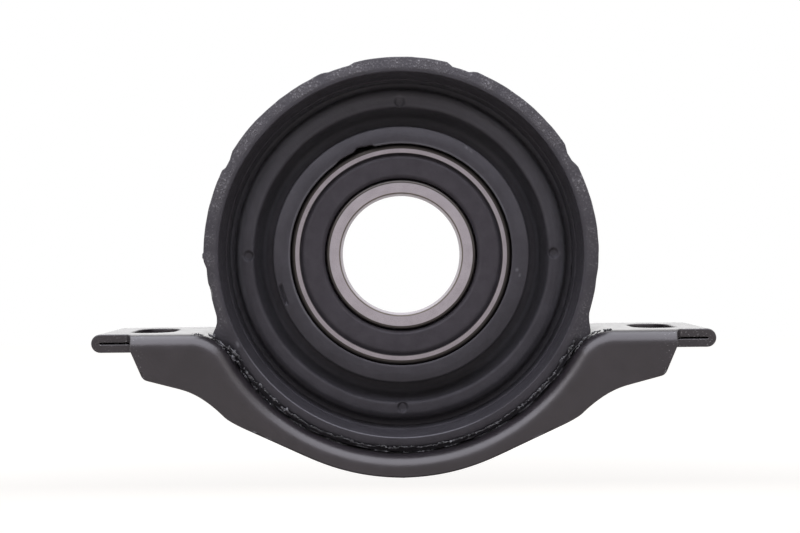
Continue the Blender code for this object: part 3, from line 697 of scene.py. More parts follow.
# %% Sleeve
section = np.array(
    [
        (23.65, -6.00, 0.15),
        (24.65, -6.00, 0.15),
        (24.65, 7.15, 0.90),
        (21.60, 7.15, 0.15),
        (21.60, 6.15, 0.15),
        (23.65, 6.15, 0.10),
    ]
)
sleeve = turned_piece("drawn_sleeve", rounded(section[:, :2] * MM, section[:, 2] * MM))
finish_piece(sleeve, sleeve_steel, "mount", ["bearing_sleeve"])

# %% [markdown]
# ## Balls
# A ball is a half circle turned about a line through its own centre. The centre is the middle of the
# node's box, and the poles lie on the line beside the shaft's axis.

# %% Balls
def ball_points(centre, radius, turns=56, steps=28):
    """x = c + r sin t cos p, z = c + r sin t sin p, y = c - r cos t, for t from pole to pole and p round."""
    t = np.linspace(0, np.pi, steps + 1)[None, :]
    p = np.linspace(0, 2 * np.pi, turns, endpoint=False)[:, None]
    x = centre.x + radius * np.sin(t) * np.cos(p)
    z = centre.z + radius * np.sin(t) * np.sin(p)
    y = centre.y - radius * np.cos(t) * np.ones_like(p)
    return np.stack([x, y, z], -1)


ball_names = sorted(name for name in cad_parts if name.startswith("ball_"))
for name in ball_names:
    low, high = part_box(name)
    points = ball_points((low + high) / 2, BALL_RADIUS)
    ball = new_piece("polished_" + name, points, grid_faces(*points.shape[:2], close_columns=False))
    finish_piece(ball, ball_steel, name, [name])

# %% [markdown]
# ## The rubber mount
# One moulding does all the work: a collar grips the sleeve, two deep troughs with a crest between them
# let the shaft move, and a thick rim is bonded to the bracket. It is a turned shape that the mould and
# the trimming knife have made a little irregular. So a smooth section is carried round the shaft and then
# each grid point is moved by small amounts that depend on its place in the section and on its angle.

# %% Rubber section
COLLAR_LIP, SLEEVE_SEAT, COLLAR = 22.75, 24.80, 26.2
COLLAR_FRONT, COLLAR_REAR = -7.45, 8.6
LINING_FRONT, LINING_REAR = -6.15, 7.3
CREST_IN, CREST_OUT, CREST_FRONT = 30.45, 33.6, -5.2
CREST_MIDDLE = 31.45
RIM_INNER, RIM_OUTER, RIM_FRONT = 36.7, 39.8, -12.6
TROUGH_FLOOR = 0.9
OUTER_FLOOR = -1.6
REAR_FLOOR, RIM_REAR = 4.2, 12.6

# Each corner is (radius, along the shaft, cut), in mm.
collar_face = [
    (COLLAR_LIP, LINING_FRONT, 0.1),
    (COLLAR_LIP, COLLAR_FRONT, 0.2),
    (24.5, COLLAR_FRONT, 0.8),
    (COLLAR, -6.95, 0.3),
]
inner_trough = [(26.5, TROUGH_FLOOR, 1.0), (28.9, TROUGH_FLOOR, 1.1)]
crest = [(CREST_IN, CREST_FRONT, 0.7), (CREST_OUT, CREST_FRONT, 1.5)]
outer_trough = [(34.6, OUTER_FLOOR, 0.6), (35.7, OUTER_FLOOR, 0.4), (36.0, -4.6, 0.2), (36.2, -4.8, 0.2)]
rim_face = [(RIM_INNER, RIM_FRONT, 0.35), (37.4, RIM_FRONT, 0.5), (RIM_OUTER, RIM_FRONT + 0.5, 0.28)]
front_half = collar_face + inner_trough + crest + outer_trough + rim_face
rear_half = [
    (RIM_OUTER, RIM_REAR, 0.4),
    (RIM_INNER, RIM_REAR, 0.4),
    (RIM_INNER, REAR_FLOOR, 0.8),
    (33.25, REAR_FLOOR, 0.5),
    (CREST_MIDDLE, 2.8, 0.7),
    (29.65, REAR_FLOOR, 0.5),
    (26.60, REAR_FLOOR, 0.6),
    (COLLAR, COLLAR_REAR, 0.4),
    (COLLAR_LIP, COLLAR_REAR, 0.2),
    (COLLAR_LIP, LINING_REAR, 0.1),
    (SLEEVE_SEAT, LINING_REAR, 0.1),
    (SLEEVE_SEAT, LINING_FRONT, 0.1),
]
section = np.array(front_half + rear_half)
outline = rounded(section[:, :2], section[:, 2], steps=6)


def filled(points, longest_of):
    """Adds points on each side so that none is longer than longest_of(middle of the side)."""
    ends = np.vstack([points, points[:1]])
    length = np.linalg.norm(np.diff(ends, axis=0), axis=1)
    pieces = np.maximum(1, np.ceil(length / longest_of((ends[:-1] + ends[1:]) / 2))).astype(int)
    side = np.repeat(np.arange(len(points)), pieces)
    share = np.concatenate([np.arange(n) / n for n in pieces])[:, None]
    return ends[side] * (1 - share) + ends[side + 1] * share


def rubber_spacing(middle):
    """The longest side at a place, in mm: short where the crest, collar and rim carry small marks."""
    radius, y = middle.T
    crest = (abs(radius - CREST_MIDDLE) < 1.2) & (y < -4.9)
    collar = (y < -6.9) & (radius < COLLAR)
    rim = (y < -11.9) & (radius > RIM_INNER)
    return np.select([crest, collar, rim], [0.16, 0.26, 0.45], 2.0)


outline = filled(outline, rubber_spacing)
print("rubber section points:", len(outline))

# %% [markdown]
# The grid's angles crowd together near the four quarter points, where the mould's pins have left small
# round dimples in the crest: the angle is u - 0.75 sin(4u) / 4, which steps four times finer there.

# %% Rubber grid
RUBBER_TURNS = 452
CROWDING = 0.75

turn = np.linspace(0, 2 * np.pi, RUBBER_TURNS, endpoint=False)
angle = (turn - CROWDING * np.sin(4 * turn) / 4)[:, None]
degrees = np.degrees(angle) % 360
radius = np.repeat(outline[None, :, 0], RUBBER_TURNS, 0)
along = np.repeat(outline[None, :, 1], RUBBER_TURNS, 0)
base_radius, base_along = radius.copy(), along.copy()


def arc(low, high, blend):
    """1 where degrees lies between low and high, falling to 0 over blend degrees, also across 0 degrees."""
    middle, half = (low + high) / 2, (high - low) / 2
    away = abs((degrees - middle + 180) % 360 - 180)
    return 1 - smooth_step(away, half, half + blend)


print("rubber grid:", RUBBER_TURNS, "by", len(outline), "points")

# %% [markdown]
# The knife that trims the rim has left flats and nicks in its outline. Each one is written as where it
# lies, how far it reaches and how deep it is, and the list is short enough to read off the part.

# %% Trimmed rim
# Each is (from, to, blend) in degrees and a depth in mm.
TRIMS = (
    (338, 352, 4, 0.16),
    (352, 358, 3, 0.05),
    (18, 24, 3, 0.05),
    (28, 31, 2, 0.55),
    (31, 38, 3, 0.06),
    (42, 66, 3, 0.08),
    (69, 74, 2, 0.62),
    (105, 111, 2, 0.35),
    (118, 134, 4, 0.12),
    (150, 153, 1.5, 0.42),
    (184, 190, 3, 0.55),
    (191, 200, 3, 0.68),
)
trim = sum(depth * arc(low, high, blend) for low, high, blend, depth in TRIMS)
trim = trim + 0.02 * (1 + ring_noise(angle, 11, 20, 90, 0.4))
outside = smooth_step(base_radius, 38.6, 39.35)
radius -= trim * outside * (1 - smooth_step(base_along, -11.8, -6.5))
nub = arc(179.4, 180.4, 0.6) * outside * (base_along < -11)
radius += 0.22 * nub
print("deepest trim", round(float(trim.max()), 2), "mm")

# %% [markdown]
# Where the rim meets the bracket's shoulders the rubber runs out in a foot. Its underside follows the
# shoulder's bend, a circle of 9.2 mm radius, out to a thin tip, and its top is a hollow curve back to the
# rim.

# %% Feet
SHOULDER_X, SHOULDER_Z, FOOT_BEND = 42.43, -9.0, 9.2
AXIS_Z = SHAFT_HEIGHT / MM
FOOT_START, FOOT_TIP, FOOT_TOP = 57, 66.9, 72.6
TIP_RADIUS = 41.6

from_down = abs((degrees - 270 + 180) % 360 - 180)
across, down = np.sin(np.radians(from_down)), np.cos(np.radians(from_down))
to_bend = SHOULDER_X * across + (AXIS_Z - SHOULDER_Z) * down
miss = SHOULDER_X**2 + (AXIS_Z - SHOULDER_Z) ** 2 - FOOT_BEND**2
along_bend = to_bend - np.sqrt(np.clip(to_bend**2 - miss, 0, None))
share = np.clip((FOOT_TOP - from_down) / (FOOT_TOP - FOOT_TIP), 0, 1)
hollow = RIM_OUTER + (TIP_RADIUS - RIM_OUTER) * share**1.6
underside = np.where(from_down > FOOT_START, np.minimum(along_bend, TIP_RADIUS), RIM_OUTER)
foot = np.maximum(np.where(from_down < FOOT_TIP, underside, hollow), RIM_OUTER)
on_foot = smooth_step(base_radius, 39.3, 39.75) * (1 - smooth_step(abs(base_along), 11.9, 12.35))
radius += (foot - RIM_OUTER) * on_foot
print("foot reaches radius", round(float(foot.max()), 2), "mm")

# %% [markdown]
# The rest is moulding character: the crest and the troughs waver a little, four pin marks dent the crest,
# the collar's lip draws back from the bearing at the upper left, and a short tear crosses the collar at
# the left. Below, where the rim is bonded into the cradle, its front edge falls back into a crease along
# the bracket.

# %% Wavering folds and pin marks
between_walls = (base_radius > COLLAR) * (base_radius < RIM_INNER)
in_troughs = smooth_step(base_along, -6, -2) * (base_along < 2) * between_walls
along += 0.22 * ring_noise(angle, 5, 2, 9) * in_troughs
on_crest = (base_radius > CREST_IN - 0.2) * (base_radius < CREST_OUT + 0.2) * (base_along < -3.5)
along += 0.05 * ring_noise(angle, 7, 3, 24) * on_crest
radius += 0.05 * ring_noise(angle, 8, 3, 24) * on_crest

quarter = np.radians((degrees + 45) % 90 - 45)
pin = np.hypot(base_radius - CREST_MIDDLE, CREST_MIDDLE * quarter)
along += 0.65 * (1 - smooth_step(pin, 0.65, 1.2)) * on_crest
print("grid points in the pin marks:", int(((pin < 1.2) * on_crest).sum()))

# %% Collar and crease
on_collar = (base_along < -5) * (base_radius < COLLAR + 0.1)
along += 0.04 * ring_noise(angle, 9, 2, 30) * on_collar
lip = on_collar * (1 - smooth_step(base_radius, 23.0, 23.6))
radius += lip * (0.5 * arc(105, 112, 2.5) + 0.3 * arc(112, 122, 5))
tear = bump(base_radius, 25.3, 25.6, 0.25) * arc(194.5, 202, 1.5) * on_collar
along += 0.7 * tear

along += 1.1 * smooth_step(base_radius, 38.5, 39.5) * (base_along < -8) * arc(212, 328, 7)

rubber_points = around_shaft(radius * MM, along * MM, angle)
rubber_mount = new_piece("moulded_mount", rubber_points, grid_faces(*radius.shape), sharp_degrees=50)

# %% [markdown]
# The trimmed face of the rim is torn and speckled in two broad bands, left and right of the top, and less
# so lower down. That share is stored on the mesh for the rubber's material to read.

# %% Torn surface
place = positions(rubber_mount) / MM
x, y, z = place.T
degrees = np.degrees(np.arctan2(z - AXIS_Z, x))[:, None] % 360
point_radius = np.hypot(x, z - AXIS_Z)
bands = arc(22, 158, 8) + 0.6 * arc(158, 202, 4) + 0.5 * arc(336, 380, 8)
bands = bands[:, 0] * (0.7 + 0.35 * ring_noise(np.radians(degrees[:, 0]), 21, 10, 60, 0.3))
face = smooth_step(point_radius, 37.0, 37.6) * (1 - smooth_step(y, -11.8, -11.0))
torn = np.clip(bands * face, 0, 1)
give_attribute(rubber_mount, "torn", torn)
print("torn vertices:", int((torn > 0.1).sum()), "of", len(torn))

# %% [markdown]
# The painted light and shade in the folds is a curve over the radius, positive where painted light makes
# a fold paler and negative where painted shade keeps it deep black. Light reaches the folds differently
# round the ring, so there is one curve above the shaft, one beside it and one below, and they blend where
# they meet.

# %% Painted light and shade in the folds
# Painted light and shade over the folds' radius, one curve each above, beside and below the shaft.
FOLD_RADIUS = (26.2, 27.0, 27.8, 28.7, 29.5, 30.2, 32.6, 33.4, 34.3, 35.0, 35.8, 36.05)
PAINTED_SHADING_ABOVE = (0.0, 0.0, 0.15, 1.0, 0.80, 0.0, 0.50, 1.0, 1.0, 0.70, 0.60, 0.3)
PAINTED_SHADING_BESIDE = (0.0, -0.6, -0.5, 0.50, 0.50, 0.0, 0.0, 0.80, 1.0, 0.25, 0.25, 0.2)
PAINTED_SHADING_BELOW = (0.0, -0.5, -0.30, 0.75, 0.50, 0.0, -0.45, 0.20, 0.65, 0.25, 0.10, -0.4)
above, below = arc(50, 130, 30)[:, 0], arc(215, 325, 25)[:, 0]
folds = above * np.interp(point_radius, FOLD_RADIUS, PAINTED_SHADING_ABOVE)
folds += below * np.interp(point_radius, FOLD_RADIUS, PAINTED_SHADING_BELOW)
folds += (1 - above - below) * np.interp(point_radius, FOLD_RADIUS, PAINTED_SHADING_BESIDE)
folds *= y > -11
print("bloom in the folds from", round(float(folds.min()), 2), "to", round(float(folds.max()), 2))

# %% [markdown]
# Edges have a share of their own: painted highlights along the collar's lip, on the upper crest and the
# collar's upper edge, in the crease and inside the lower rim, and painted shade in bands on the rim's
# inner wall and lower face. Last come a few pale flecks.

# %% Painted highlights and shade on edges, and flecks
# Each fleck is an angle in degrees, a radius and a width in mm.
FLECKS = (
    (54.9, 25.5, 0.40),
    (58.0, 25.6, 0.30),
    (351.9, 23.9, 0.45),
    (349.5, 24.6, 0.35),
    (208.1, 37.4, 0.45),
)
in_front = 1 - smooth_step(y, 2, 3)
on_wall = (point_radius > 35.9) * (point_radius < 36.75)
# Painted shade on the rim's inner wall, deeper below the shaft.
rim_wall = on_wall * smooth_step(y, -12.4, -11.4) * (0.35 + 0.65 * below)
# Painted shade on the lower part of the rim's face.
rim_shade = 0.4 * below * bump(point_radius, 37.0, 38.4, 0.2) * (y < -12)
# Painted highlight along the rim's inner edge below the shaft.
rim_line = 0.9 * arc(222, 285, 18)[:, 0] * bump(point_radius, 36.72, 36.86, 0.06) * (y < -12.3)
# Painted highlight along the collar's lip, fainter below.
lip_line = 0.6 * (1 - smooth_step(point_radius, 22.95, 23.15)) * (1 - smooth_step(y, -7.3, -6.9))
lip_line *= 1 - 0.75 * arc(232, 372, 15)[:, 0]
upper = arc(20, 160, 30)[:, 0]
# Painted light on the crest above the shaft.
on_top = 0.24 * upper * bump(point_radius, CREST_IN, CREST_OUT - 0.6, 0.5) * (y < -4.5)
# Painted light on the collar's outer part above the shaft.
collar_edge = 0.16 * upper * smooth_step(point_radius, 23.0, 26.2) * (point_radius < 26.3) * (y < -6)
# Painted light in the crease along the bracket.
crease = 0.25 * arc(212, 328, 7)[:, 0] * smooth_step(point_radius, 38.6, 39.4) * (y < -10)
pale = np.maximum.reduce([folds, lip_line, on_top, collar_edge, crease, rim_line])
# The painted highlights less the painted shade.
painted_shading_and_flecks = pale - rim_wall - rim_shade
for spot_angle, spot_radius, wide in FLECKS:
    away = np.hypot(point_radius - spot_radius, (np.radians(degrees[:, 0] - spot_angle) * spot_radius))
    painted_shading_and_flecks = np.maximum(painted_shading_and_flecks, 0.9 * (1 - smooth_step(away, 0.3 * wide, wide)) * (y < -6))
give_attribute(rubber_mount, "painted_shading_and_flecks", np.clip(painted_shading_and_flecks * in_front, -1, 1))
finish_piece(rubber_mount, rubber, "mount", ["rubber_mount"])
print("paler vertices:", int((painted_shading_and_flecks > 0.1).sum()), "darker vertices:", int((painted_shading_and_flecks < -0.1).sum()))

# %% [markdown]
# ## Rubber flash
# Rubber squeezed out between the mould and the bracket stays behind as thin glossy strings: lumps on the
# left shoulder, crumpled loops on the right one, and broken bits along the crease under the rim. Each is
# a flattened tube of wavering thickness that tapers to a point at both ends, swept along a short route of
# (x, y, z) points. The bits in the crease have no order on the real part, so a seeded draw lays them one
# after another.

# %% Flash tubes
def along_route(route, steps):
    """A smooth route through its points: each stretch is the Catmull-Rom cubic of its four nearest points."""
    p = np.array(route, float)
    p = np.vstack([2 * p[:1] - p[1:2], p, 2 * p[-1:] - p[-2:-1]])
    u = np.linspace(0, len(p) - 3, steps)
    i = np.minimum(u.astype(int), len(p) - 4)
    t = (u - i)[:, None]
    a, b, c, d = p[i], p[i + 1], p[i + 2], p[i + 3]
    return b + t * (c - a) / 2 + t**2 * (2 * a - 5 * b + 4 * c - d) / 2 + t**3 * (3 * b - a - 3 * c + d) / 2


def tube(route, thickness, seed, steps=54, sides=10):
    """A flattened ring of points round each place of the route, scaled by thickness, taper and lumps.

    The lumps are a product of two waves of noise, one along the route and one that winds round it.
    """
    centre = along_route(route, steps)
    share = np.linspace(0, 1, steps)
    wander = np.stack([ring_noise(share * 2, seed + k, 4, 26, 0.6) for k in range(3)], 1)
    centre = centre + 0.5 * thickness * wander
    heading = np.gradient(centre, axis=0)
    heading /= np.linalg.norm(heading, axis=1)[:, None]
    across = np.cross(heading, (0.1, 1.0, 0.2))
    across /= np.linalg.norm(across, axis=1)[:, None]
    other = np.cross(heading, across)
    swell = np.maximum(0.7 + 0.6 * ring_noise(share * 2, seed + 9, 5, 34, 0.4), 0.2)
    wide = thickness * swell * np.sqrt(np.clip(np.sin(np.pi * share), 0, None))
    around = np.linspace(0, 2 * np.pi, sides, endpoint=False)[None, :]
    winding = np.cos(3 * around + 9 * share[:, None])
    lumps = 1 + 0.45 * ring_noise(share * 2, seed + 17, 6, 40, 0.3)[:, None] * winding
    ring = np.cos(around)[..., None] * across[:, None] + 0.6 * np.sin(around)[..., None] * other[:, None]
    return centre[:, None] + (wide[:, None] * lumps)[..., None] * ring


def crease_route(start, end, radius, y=-12.5, count=8):
    """A route along the crease below the rim: X = r cos a, Z = axis height + r sin a, from start to end."""
    a = np.radians(np.linspace(start, end, count))
    return np.stack([radius * np.cos(a), np.full(count, y), AXIS_Z + radius * np.sin(a)], 1)


# %% Flash routes
LUMPS = [
    (-39.0, -12.6, 0.3),
    (-37.2, -12.9, -1.3),
    (-35.6, -13.1, -2.4),
    (-33.6, -13.1, -3.8),
    (-31.9, -13.0, -5.6),
]
LOOPS = [
    (33.6, -12.9, -4.6),
    (35.2, -13.2, -3.2),
    (36.6, -13.4, -1.7),
    (38.2, -13.4, -1.2),
    (40.0, -13.2, -0.1),
]
CREASE_START, CREASE_END = 215.0, 330
# Inner and outer radius in mm, thickness, spacing and first seed of each row of bits.
CREASE_ROWS = ((38.50, 38.90, 0.19, 0.75, 100), (39.2, 39.8, 0.10, 1.1, 500))
# Each tube is a route, a thickness in mm and a seed.
tubes = [
    (LUMPS, 0.46, 31),
    ([(-38.0, -13.4, -1.0), (-36.6, -13.6, -2.2), (-35.4, -13.6, -3.4)], 0.32, 32),
    ([(-35.0, -13.5, -3.6), (-33.6, -13.6, -5.0), (-32.4, -13.4, -6.4)], 0.30, 51),
    ([(-42.0, -13.0, -0.02), (-40.9, -13.2, -0.10), (-39.7, -13.3, -0.22)], 0.17, 33),
    ([(-42.2, -13.9, -0.25), (-41.2, -14.1, -0.40), (-40.4, -14.3, -0.62)], 0.20, 34),
    (LOOPS, 0.26, 35),
    ([(34.6, -13.4, -4.4), (36.2, -13.8, -2.0), (38.6, -13.5, -0.4), (39.9, -13.1, -0.1)], 0.20, 36),
    ([(36.0, -13.5, -2.9), (37.4, -13.9, -2.3), (38.6, -13.9, -1.0), (37.9, -13.6, -0.3)], 0.17, 37),
    ([(40.3, -13.0, -0.05), (41.2, -13.2, -0.02), (42.3, -13.0, 0.02)], 0.26, 38),
]
draw = np.random.default_rng(4)
for inner, outer, thick, gap, first_seed in CREASE_ROWS:
    start = CREASE_START
    while start < CREASE_END:
        length = draw.uniform(2.0, 7.0)
        wide = thick * draw.uniform(0.7, 1.3) * (1.3 if start < 232 or start > 318 else 1)
        route = crease_route(start, start + length, draw.uniform(inner, outer), y=draw.uniform(-12.9, -12.4))
        tubes.append((route, wide, int(first_seed + start)))
        start += length * gap * draw.uniform(0.8, 1.4)
print("flash tubes:", len(tubes))

# %% Flash piece
rings = [tube(*values) for values in tubes]
faces = grid_faces(*rings[0].shape[:2], close_rows=False)
count = rings[0].shape[0] * rings[0].shape[1]
flash = new_piece(
    "rubber_flash",
    np.concatenate([r.reshape(-1, 3) for r in rings]) * MM,
    np.concatenate([faces + count * k for k in range(len(rings))]),
)


def glossy_flash():
    """Uneven black rubber that was squeezed out and never trimmed, glossier than the moulded skin."""
    material, tree, shader = new_material("glossy_flash", Specular_IOR_Level=0.4)
    place = shaft_centred(tree)
    mottle = noise(tree, place, 1.5 * MM, 3.0, 0.6)
    colour = mixed_colour(tree, mottle, (0.016, 0.015, 0.017), (0.075, 0.070, 0.077))
    coloured(tree, shader, colour, noise(tree, place, 0.8 * MM, 3.0, 0.6, 0.24, 0.46))
    bumped(tree, shader, [(noise(tree, place, 0.4 * MM, 3.0, 0.6), 0.05 * MM)])
    return material


finish_piece(flash, glossy_flash(), "mount", [])

# %% [markdown]
# ## The bracket
# The bracket starts as one strip of sheet. It is bent down along both long sides into a channel, curved
# into the cradle, and its ends run out flat and fold back under themselves, so that each ear is two
# sheets thick. The scene builds the sheet's outer skin in the same way: a path seen from the front, and a
# set of columns across it. The middle columns follow the path to the very end of the fold, and the side
# columns turn down into the flanges. A Solidify modifier then adds the sheet's thickness.

# %% Bracket path
SHEET = 1.7
CRADLE = 40.0
SHOULDER = 9.0
HEM_OUTER = 1.85
EAR_SHIFT = 0.35
EAR_END = EAR_X / MM - EAR_SHIFT
TAIL_X = 46.0
FLANGE_END = 54.4
FILLET = 1.2
FLANGED_STEPS = 28
CRADLE_ANGLE = math.acos((AXIS_Z + SHOULDER) / (CRADLE + SHOULDER))


def arc_points(centre, radius, start, end, steps):
    """Points x = c + r sin a, z = c - r cos a on a circle, with a as the slope of the path: (x, z, slope)."""
    a = np.linspace(start, end, steps + 1)
    return np.stack([centre[0] + radius * np.sin(a), centre[1] - radius * np.cos(a), a], 1)


cradle = arc_points((0, AXIS_Z), CRADLE, 0, CRADLE_ANGLE, 72)
shoulder = arc_points((SHOULDER_X, -SHOULDER), -SHOULDER, CRADLE_ANGLE, 0, 30)
fold_x = EAR_END - HEM_OUTER
flanged_x = np.linspace(SHOULDER_X, FLANGE_END + FILLET, FLANGED_STEPS + 1)
free_x = np.linspace(FLANGE_END + FILLET, fold_x, 10)
ear_x = np.concatenate([flanged_x, free_x[1:]])
ear = np.stack([ear_x, 0 * ear_x, 0 * ear_x], 1)
a = np.linspace(np.pi / 2, -np.pi / 2, 15)
fold = np.stack([fold_x + HEM_OUTER * np.cos(a), -HEM_OUTER + HEM_OUTER * np.sin(a), 0 * a], 1)
tail_x = np.linspace(fold_x, TAIL_X, 22)
tail = np.stack([tail_x, 0 * tail_x - 2 * HEM_OUTER, 0 * tail_x], 1)
web = np.vstack([cradle, shoulder[1:], ear[1:]])
flanged = len(cradle) + len(shoulder) + FLANGED_STEPS - 1
right_path = np.vstack([web, fold[1:], tail[1:]])
print("path points:", len(right_path), "of which flanged:", flanged)

# %% [markdown]
# The flange's lower edge follows the cradle as a narrow lip, deepens to a knee and runs in a hollow curve
# to its end under the slot, where its corner is rounded. There is one edge point for each point of the
# path above it, and a moving average softens the joins as the press has.

# %% Flange edge
LIP_RADIUS, KNEE_RADIUS = CRADLE + 4.3, CRADLE + 7.7
LIP_ANGLE, KNEE_ANGLE = math.radians(26), math.radians(46.5)
CURVE_END = np.array([44.2, -10.9])
CORNER = np.array([51.8, -8.9])
CORNER_ROUND = 0.8


def smoothed(values, half):
    """A moving average over 2 half + 1 rows. The ends go on as the curve turned about its end point."""
    before = 2 * values[:1] - values[half:0:-1]
    after = 2 * values[-1:] - values[-2 : -half - 2 : -1]
    padded = np.vstack([before, values, after])
    kernel = np.ones(2 * half + 1) / (2 * half + 1)
    return np.stack([np.convolve(padded[:, k], kernel, "valid") for k in range(values.shape[1])], 1)


def on_circle(radius, angle):
    """A point below the shaft's axis: x = r sin a, z = axis height - r cos a."""
    return np.stack([radius * np.sin(angle), AXIS_Z - radius * np.cos(angle)], -1)


a = cradle[:, 2]
lip_end, knee = on_circle(LIP_RADIUS, LIP_ANGLE), on_circle(KNEE_RADIUS, KNEE_ANGLE)
to_knee = np.clip((a - LIP_ANGLE) / (KNEE_ANGLE - LIP_ANGLE), 0, 1)[:, None]
end_slope = (CORNER - CURVE_END)[1] / (CORNER - CURVE_END)[0]
rise = math.tan(KNEE_ANGLE)
run = (CURVE_END[1] - knee[1] - end_slope * (CURVE_END[0] - knee[0])) / (rise - end_slope)
control = knee + np.array([run, rise * run])
past_knee = np.clip((a - KNEE_ANGLE) / (CRADLE_ANGLE - KNEE_ANGLE), 0, 1) * 2 / 7
over_shoulder = 2 / 7 + (CRADLE_ANGLE - shoulder[1:, 2]) / CRADLE_ANGLE * 5 / 7


def hollow_curve(t):
    """The quadratic curve from the knee to the flange's straight end."""
    t = t[:, None]
    return (1 - t) ** 2 * knee + 2 * t * (1 - t) * control + t**2 * CURVE_END


under_cradle = np.where(
    (a <= LIP_ANGLE)[:, None],
    on_circle(LIP_RADIUS, a),
    np.where((a <= KNEE_ANGLE)[:, None], lip_end * (1 - to_knee) + knee * to_knee, hollow_curve(past_knee)),
)
to_corner = np.linspace(0, 1, FLANGED_STEPS + 1)[1:, None]
straight_end = CURVE_END * (1 - to_corner) + CORNER * to_corner
edge = smoothed(np.vstack([under_cradle, hollow_curve(over_shoulder), straight_end]), 5)
print("flange edge from", edge[0].round(1), "to", edge[-1].round(1))

# %% Bracket columns
WEB_HALF = 13.1
EAR_HALF = 12.25
BEND = 2.9
FLANGE_COLUMNS = 12
SQUEEZED_FROM = 50
flat_ends = np.array([EAR_HALF, WEB_HALF])
bend_turn = np.linspace(0, np.pi / 2, 9)[1:]


def column_end(half):
    """Where a side column ends in x: a hollow fillet leads from the ear's edge to the flange's end."""
    share = np.clip((half - EAR_HALF) / (WEB_HALF + BEND - EAR_HALF), 0, 1)
    return FLANGE_END + FILLET * (1 - share) ** 2.2


def side_rows():
    """The right front side, for each path point: the flat beside the ear, the bend and the flange.

    Round the bend each column moves out by sin t and down along the sheet's normal by 1 - cos t.
    """
    x, z, slope = web[:flanged].T
    far = FLANGE_END + FILLET
    columns = []
    bend = [(WEB_HALF + BEND * math.sin(t), BEND * (1 - math.cos(t))) for t in bend_turn]
    for half, drop in [(h, 0.0) for h in flat_ends] + bend:
        beyond = (x - SQUEEZED_FROM) * (column_end(half) - SQUEEZED_FROM) / (far - SQUEEZED_FROM)
        squeezed = np.where(x > SQUEEZED_FROM, SQUEEZED_FROM + beyond, x)
        px = squeezed + np.sin(slope) * drop
        pz = z - np.cos(slope) * drop
        columns.append(np.stack([px, np.full_like(px, -half), pz], 1))
    top = columns[-1]
    bottom = np.stack([edge[:, 0], np.full(len(edge), -WEB_HALF - BEND), edge[:, 1]], 1)
    share = np.linspace(0, 1, FLANGE_COLUMNS + 1)[1:]
    columns += [top * (1 - s) + bottom * s for s in share]
    return np.stack([round_corner(column, top[-1], bottom[-1]) for column in columns], 1)


def round_corner(points, end_top, end_bottom):
    """Rounds the flange's lower corner by turning a square of its grid into a quarter disc.

    With a and b running from 0 to 1 towards the corner along its two edges, a becomes a sqrt(1 - b^2 / 2)
    and b becomes b sqrt(1 - a^2 / 2), which puts both edges on one circle.
    """
    flat = points[:, [0, 2]]
    corner = end_bottom[[0, 2]]
    along_edge = (CORNER - CURVE_END) / np.linalg.norm(CORNER - CURVE_END)
    down_end = (end_bottom - end_top)[[0, 2]]
    down_end = down_end / np.linalg.norm(down_end)
    back = (corner - flat) @ np.linalg.inv(np.stack([along_edge, down_end]))
    a, b = np.clip(1 - back.T / CORNER_ROUND, 0, 1)
    moved = np.stack([a * np.sqrt(1 - b**2 / 2) - a, b * np.sqrt(1 - a**2 / 2) - b], 1) * CORNER_ROUND
    flat = flat + moved @ np.stack([along_edge, down_end])
    return np.stack([flat[:, 0], points[:, 1], flat[:, 1]], 1)


def mirrored_in_x(points):
    """The left half in front of the right half, without the middle row twice."""
    left = points[:0:-1] * (-1, 1, 1)
    return np.concatenate([left, points])


print("columns on each side:", len(flat_ends) + len(bend_turn) + FLANGE_COLUMNS)

# %% Bracket skin
SHIFT_FROM, SHIFT_TO = 30, 46

middle_y = np.linspace(-EAR_HALF, EAR_HALF, 12)
path_x, path_z, _ = right_path.T
ribbon = np.stack([np.stack([path_x, np.full_like(path_x, y), path_z], 1) for y in middle_y], 1)
ribbon = mirrored_in_x(ribbon)
front_side = mirrored_in_x(side_rows())
rear_side = front_side * (1, -1, 1)
sheets = [ribbon, front_side, rear_side]
all_points, all_faces, count = [], [], 0
for sheet, flip in zip(sheets, (False, True, False)):
    faces = grid_faces(*sheet.shape[:2], close_rows=False, close_columns=False) + count
    all_faces.append(faces[:, ::-1] if flip else faces)
    all_points.append(sheet.reshape(-1, 3))
    count += sheet.shape[0] * sheet.shape[1]
skin_points = np.vstack(all_points)
skin_points[:, 0] += EAR_SHIFT * smooth_step(abs(skin_points[:, 0]), SHIFT_FROM, SHIFT_TO)
skin = new_piece("pressed_bracket", skin_points * MM, np.vstack(all_faces), closed=False)
on_ears = [face.normal.z for face in skin.data.polygons if face.center.z > -0.1 * MM]
print("skin faces up on the ears:", np.mean(on_ears) > 0)

# %% [markdown]
# The skin gets the sheet's thickness inwards, and a fine bevel where the shears and the paint have
# softened its edges. The bolt slots are then punched through both layers. Their cutter is an upright tube
# with the outline of the slot, which widens slightly at each surface, so that the slots have eased rims.
# The finished shape is stored as a plain mesh.

# %% Slot cutters
SLOT_X, SLOT_RADIUS, SLOT_STRAIGHT = 52.0, 4.5, 3.5
EASE, EASE_CORNER = 0.3, 0.09


